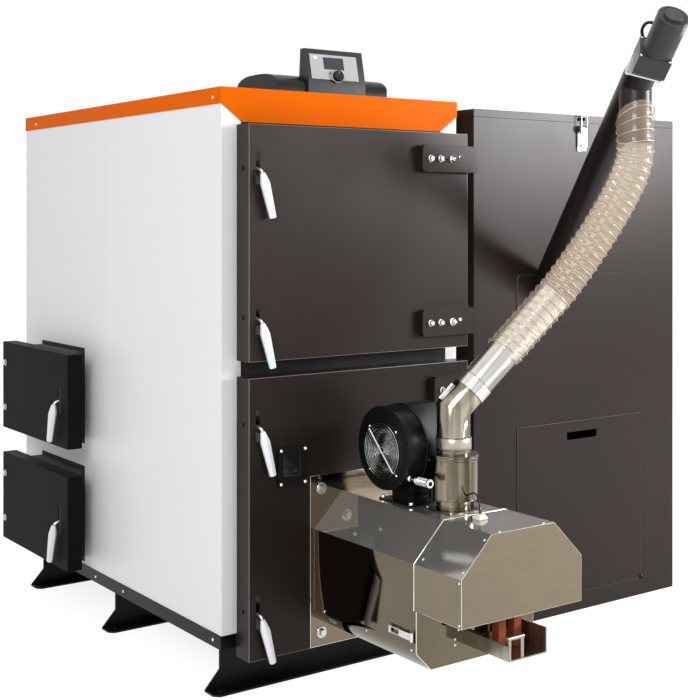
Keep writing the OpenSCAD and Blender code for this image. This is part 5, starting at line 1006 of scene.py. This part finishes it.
take(bm, lathe([(24.4, 223), (24.4, 227), (22, 229.4), (9, 229.4), (8, 228.4)], 40), MOTOR)
take(bm, block(V(-2, 56, 128), V(36, 59.6, 182), 1.2), GEARBOX)
finish_mesh("motor_ribs", bm, ["motor"], "boiler")
bm = bmesh.new()
for x in (-24, 46):
    for y in (-35, 35):
        add_dome(bm, GEARBOX @ V(x, y, 118), GEARBOX_UP, 4, 3)
for x in (-39, 39):
    for y in (-39, 39):
        add_hex(bm, GEARBOX @ V(x, y, 60), -GEARBOX_UP, 5, 3.4)
finish_mesh("motor_screws", bm, ["zinc"], "boiler")

# Controller
# PANEL stands on the panel's face, and KNOB on the knob's place.
PANEL_AT, PANEL_TILT = (298, 43, 1538), -12
PANEL = (Matrix.Translation(P(*PANEL_AT)) @ Matrix.Rotation(math.radians(PANEL_TILT), 4, "X")
      @ Matrix.Translation(V(0, 0, 3)))
KNOB = PANEL @ Matrix.Translation(V(80, 0, 9)) @ frame_z(V(0, -3.3, 0), FRONT)
RIBS = 20
bm = bmesh.new()
take(bm, lathe([(3, -2.5), (17, 0), (17, 1.2), (15.6, 2)], 40), KNOB, 1)
cap = [(14.6, 1.6), (15, 3), (14.6, 11.5), (13.2, 13), (10.5, 13), (9.5, 12.2), (1, 11.8)]
take(bm, lathe(cap, 40), KNOB)
take(bm, block(V(-0.7, 6, 12), V(0.7, 12, 13.2), 0.2), KNOB, 1)
for c, s in circle(RIBS):
    take(bm, tube([V(14.9 * c, 14.9 * s, 3.4), V(14.6 * c, 14.6 * s, 11)], 0.5, 6), KNOB)
knob = finish_mesh("control_knob", bm, ["black_plastic", "light_plastic"], "knob")
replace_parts(knob, "controller_knob")
bm = bmesh.new()
for x, z in ((60, 17), (100, 17)):
    corner = front_plane(mm(x - 3), -mm(3), mm(z - 2.5))
    take(bm, prism(round_rect(6, 5, 1.2), 0.5, 0.15), PANEL @ corner)
take(bm, prism(round_rect(11, 8, 1.2), 0.4, 0.1), PANEL @ front_plane(mm(12), -mm(3), mm(54)), 1)
finish_mesh("panel_marks", bm, ["red", "grip"], "boiler")

# Hopper
# Catch plate under the lid, and the lid's hook
CATCH_X = 1248
bm = bmesh.new()
take(bm, block(P(CATCH_X - 19, -3, 1378), P(CATCH_X + 19, 0, 1450), 0.8))
for s in (-1, 1):
    x = CATCH_X + s * 17.5
    take(bm, block(P(x - 1.5, -14, 1438), P(x + 1.5, 0, 1454), 0.8))
    add_dome(bm, P(CATCH_X + s * 12, -3, 1384), FRONT, 2.6, 1.6)
finish_mesh("catch_plate", bm, ["zinc"], "boiler")
bm = bmesh.new()
take(bm, block(P(1237, -6, 1469), P(1259, 0.4, 1479), 0.8))
finish_mesh("lid_hook", bm, ["zinc"], "hopper_lid")


# Radius of the way cut for the auger's tube, and how far it reaches down from the spout
WAY_R, WAY_L = 40.3, 1400


def clear_tube(o):
    """Cuts the auger tube's way out of a piece."""
    b = lathe([(WAY_R, -WAY_L), (WAY_R, 0)], 96)
    b.transform(AUGER)
    hole = bpy.data.meshes.new("auger_way")
    b.to_mesh(hole)
    b.free()
    way = bpy.data.objects.new("auger_way", hole)
    scene.collection.objects.link(way)
    mod = o.modifiers.new("way", "BOOLEAN")
    mod.object, mod.operation, mod.solver = way, "DIFFERENCE", "EXACT"
    mesh = bpy.data.meshes.new_from_object(o.evaluated_get(bpy.context.evaluated_depsgraph_get()))
    o.modifiers.clear()
    o.data = mesh
    bpy.data.objects.remove(way)


# Dark seams round the hopper's door and its cover plate
PLATE_X, PLATE_Z, PLATE_W, PLATE_H, PLATE_T = 985, 857, 532.6, 153, 3
lo, hi = (Vector(v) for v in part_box("hopper_door"))
left, right = mm(PLATE_X - HALF_W), mm(PLATE_X + PLATE_W - HALF_W)
low, high = mm(PLATE_Z), mm(PLATE_Z + PLATE_H)
y0, y1, wide = mm(-0.5 - HALF_D), mm(0.2 - HALF_D), mm(4)
bm = bmesh.new()
for x0, z0, x1, z1 in ((lo.x, lo.z, hi.x, hi.z), (left, low, right, high)):
    take(bm, block((x0 - wide, y0, z0 - wide), (x1 + wide, y1, z0)))
    take(bm, block((x0 - wide, y0, z1), (x1 + wide, y1, z1 + wide)))
    take(bm, block((x0 - wide, y0, z0), (x0, y1, z1)))
    take(bm, block((x1, y0, z0), (x1 + wide, y1, z1)))
clear_tube(finish_mesh("hopper_seams", bm, ["dark"], "boiler"))

# Cover plate over the auger's way out of the hopper, its edges in the lighter paint: a painted
# highlight
bm = bmesh.new()
take(bm, prism(round_rect(PLATE_W, PLATE_H, 10), PLATE_T, 0.8), front_plane(left, -mm(HALF_D), low))
for x in (PLATE_X + 12, PLATE_X + PLATE_W - 12):
    for z in (PLATE_Z + 12, PLATE_Z + PLATE_H - 12):
        add_dome(bm, P(x, -PLATE_T, z), FRONT, 3.6, 2.4, 1)
bm.normal_update()
# Faces that don't look to the front take the lighter paint, a painted highlight
for f in bm.faces:
    if f.material_index == 0 and abs(f.normal.y) < 0.98:
        f.material_index = 2
plate = finish_mesh("auger_cover_plate", bm, ["charcoal", "black", "fold_highlight"], "boiler")
clear_tube(plate)
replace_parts(plate, "hopper_cover_plate")
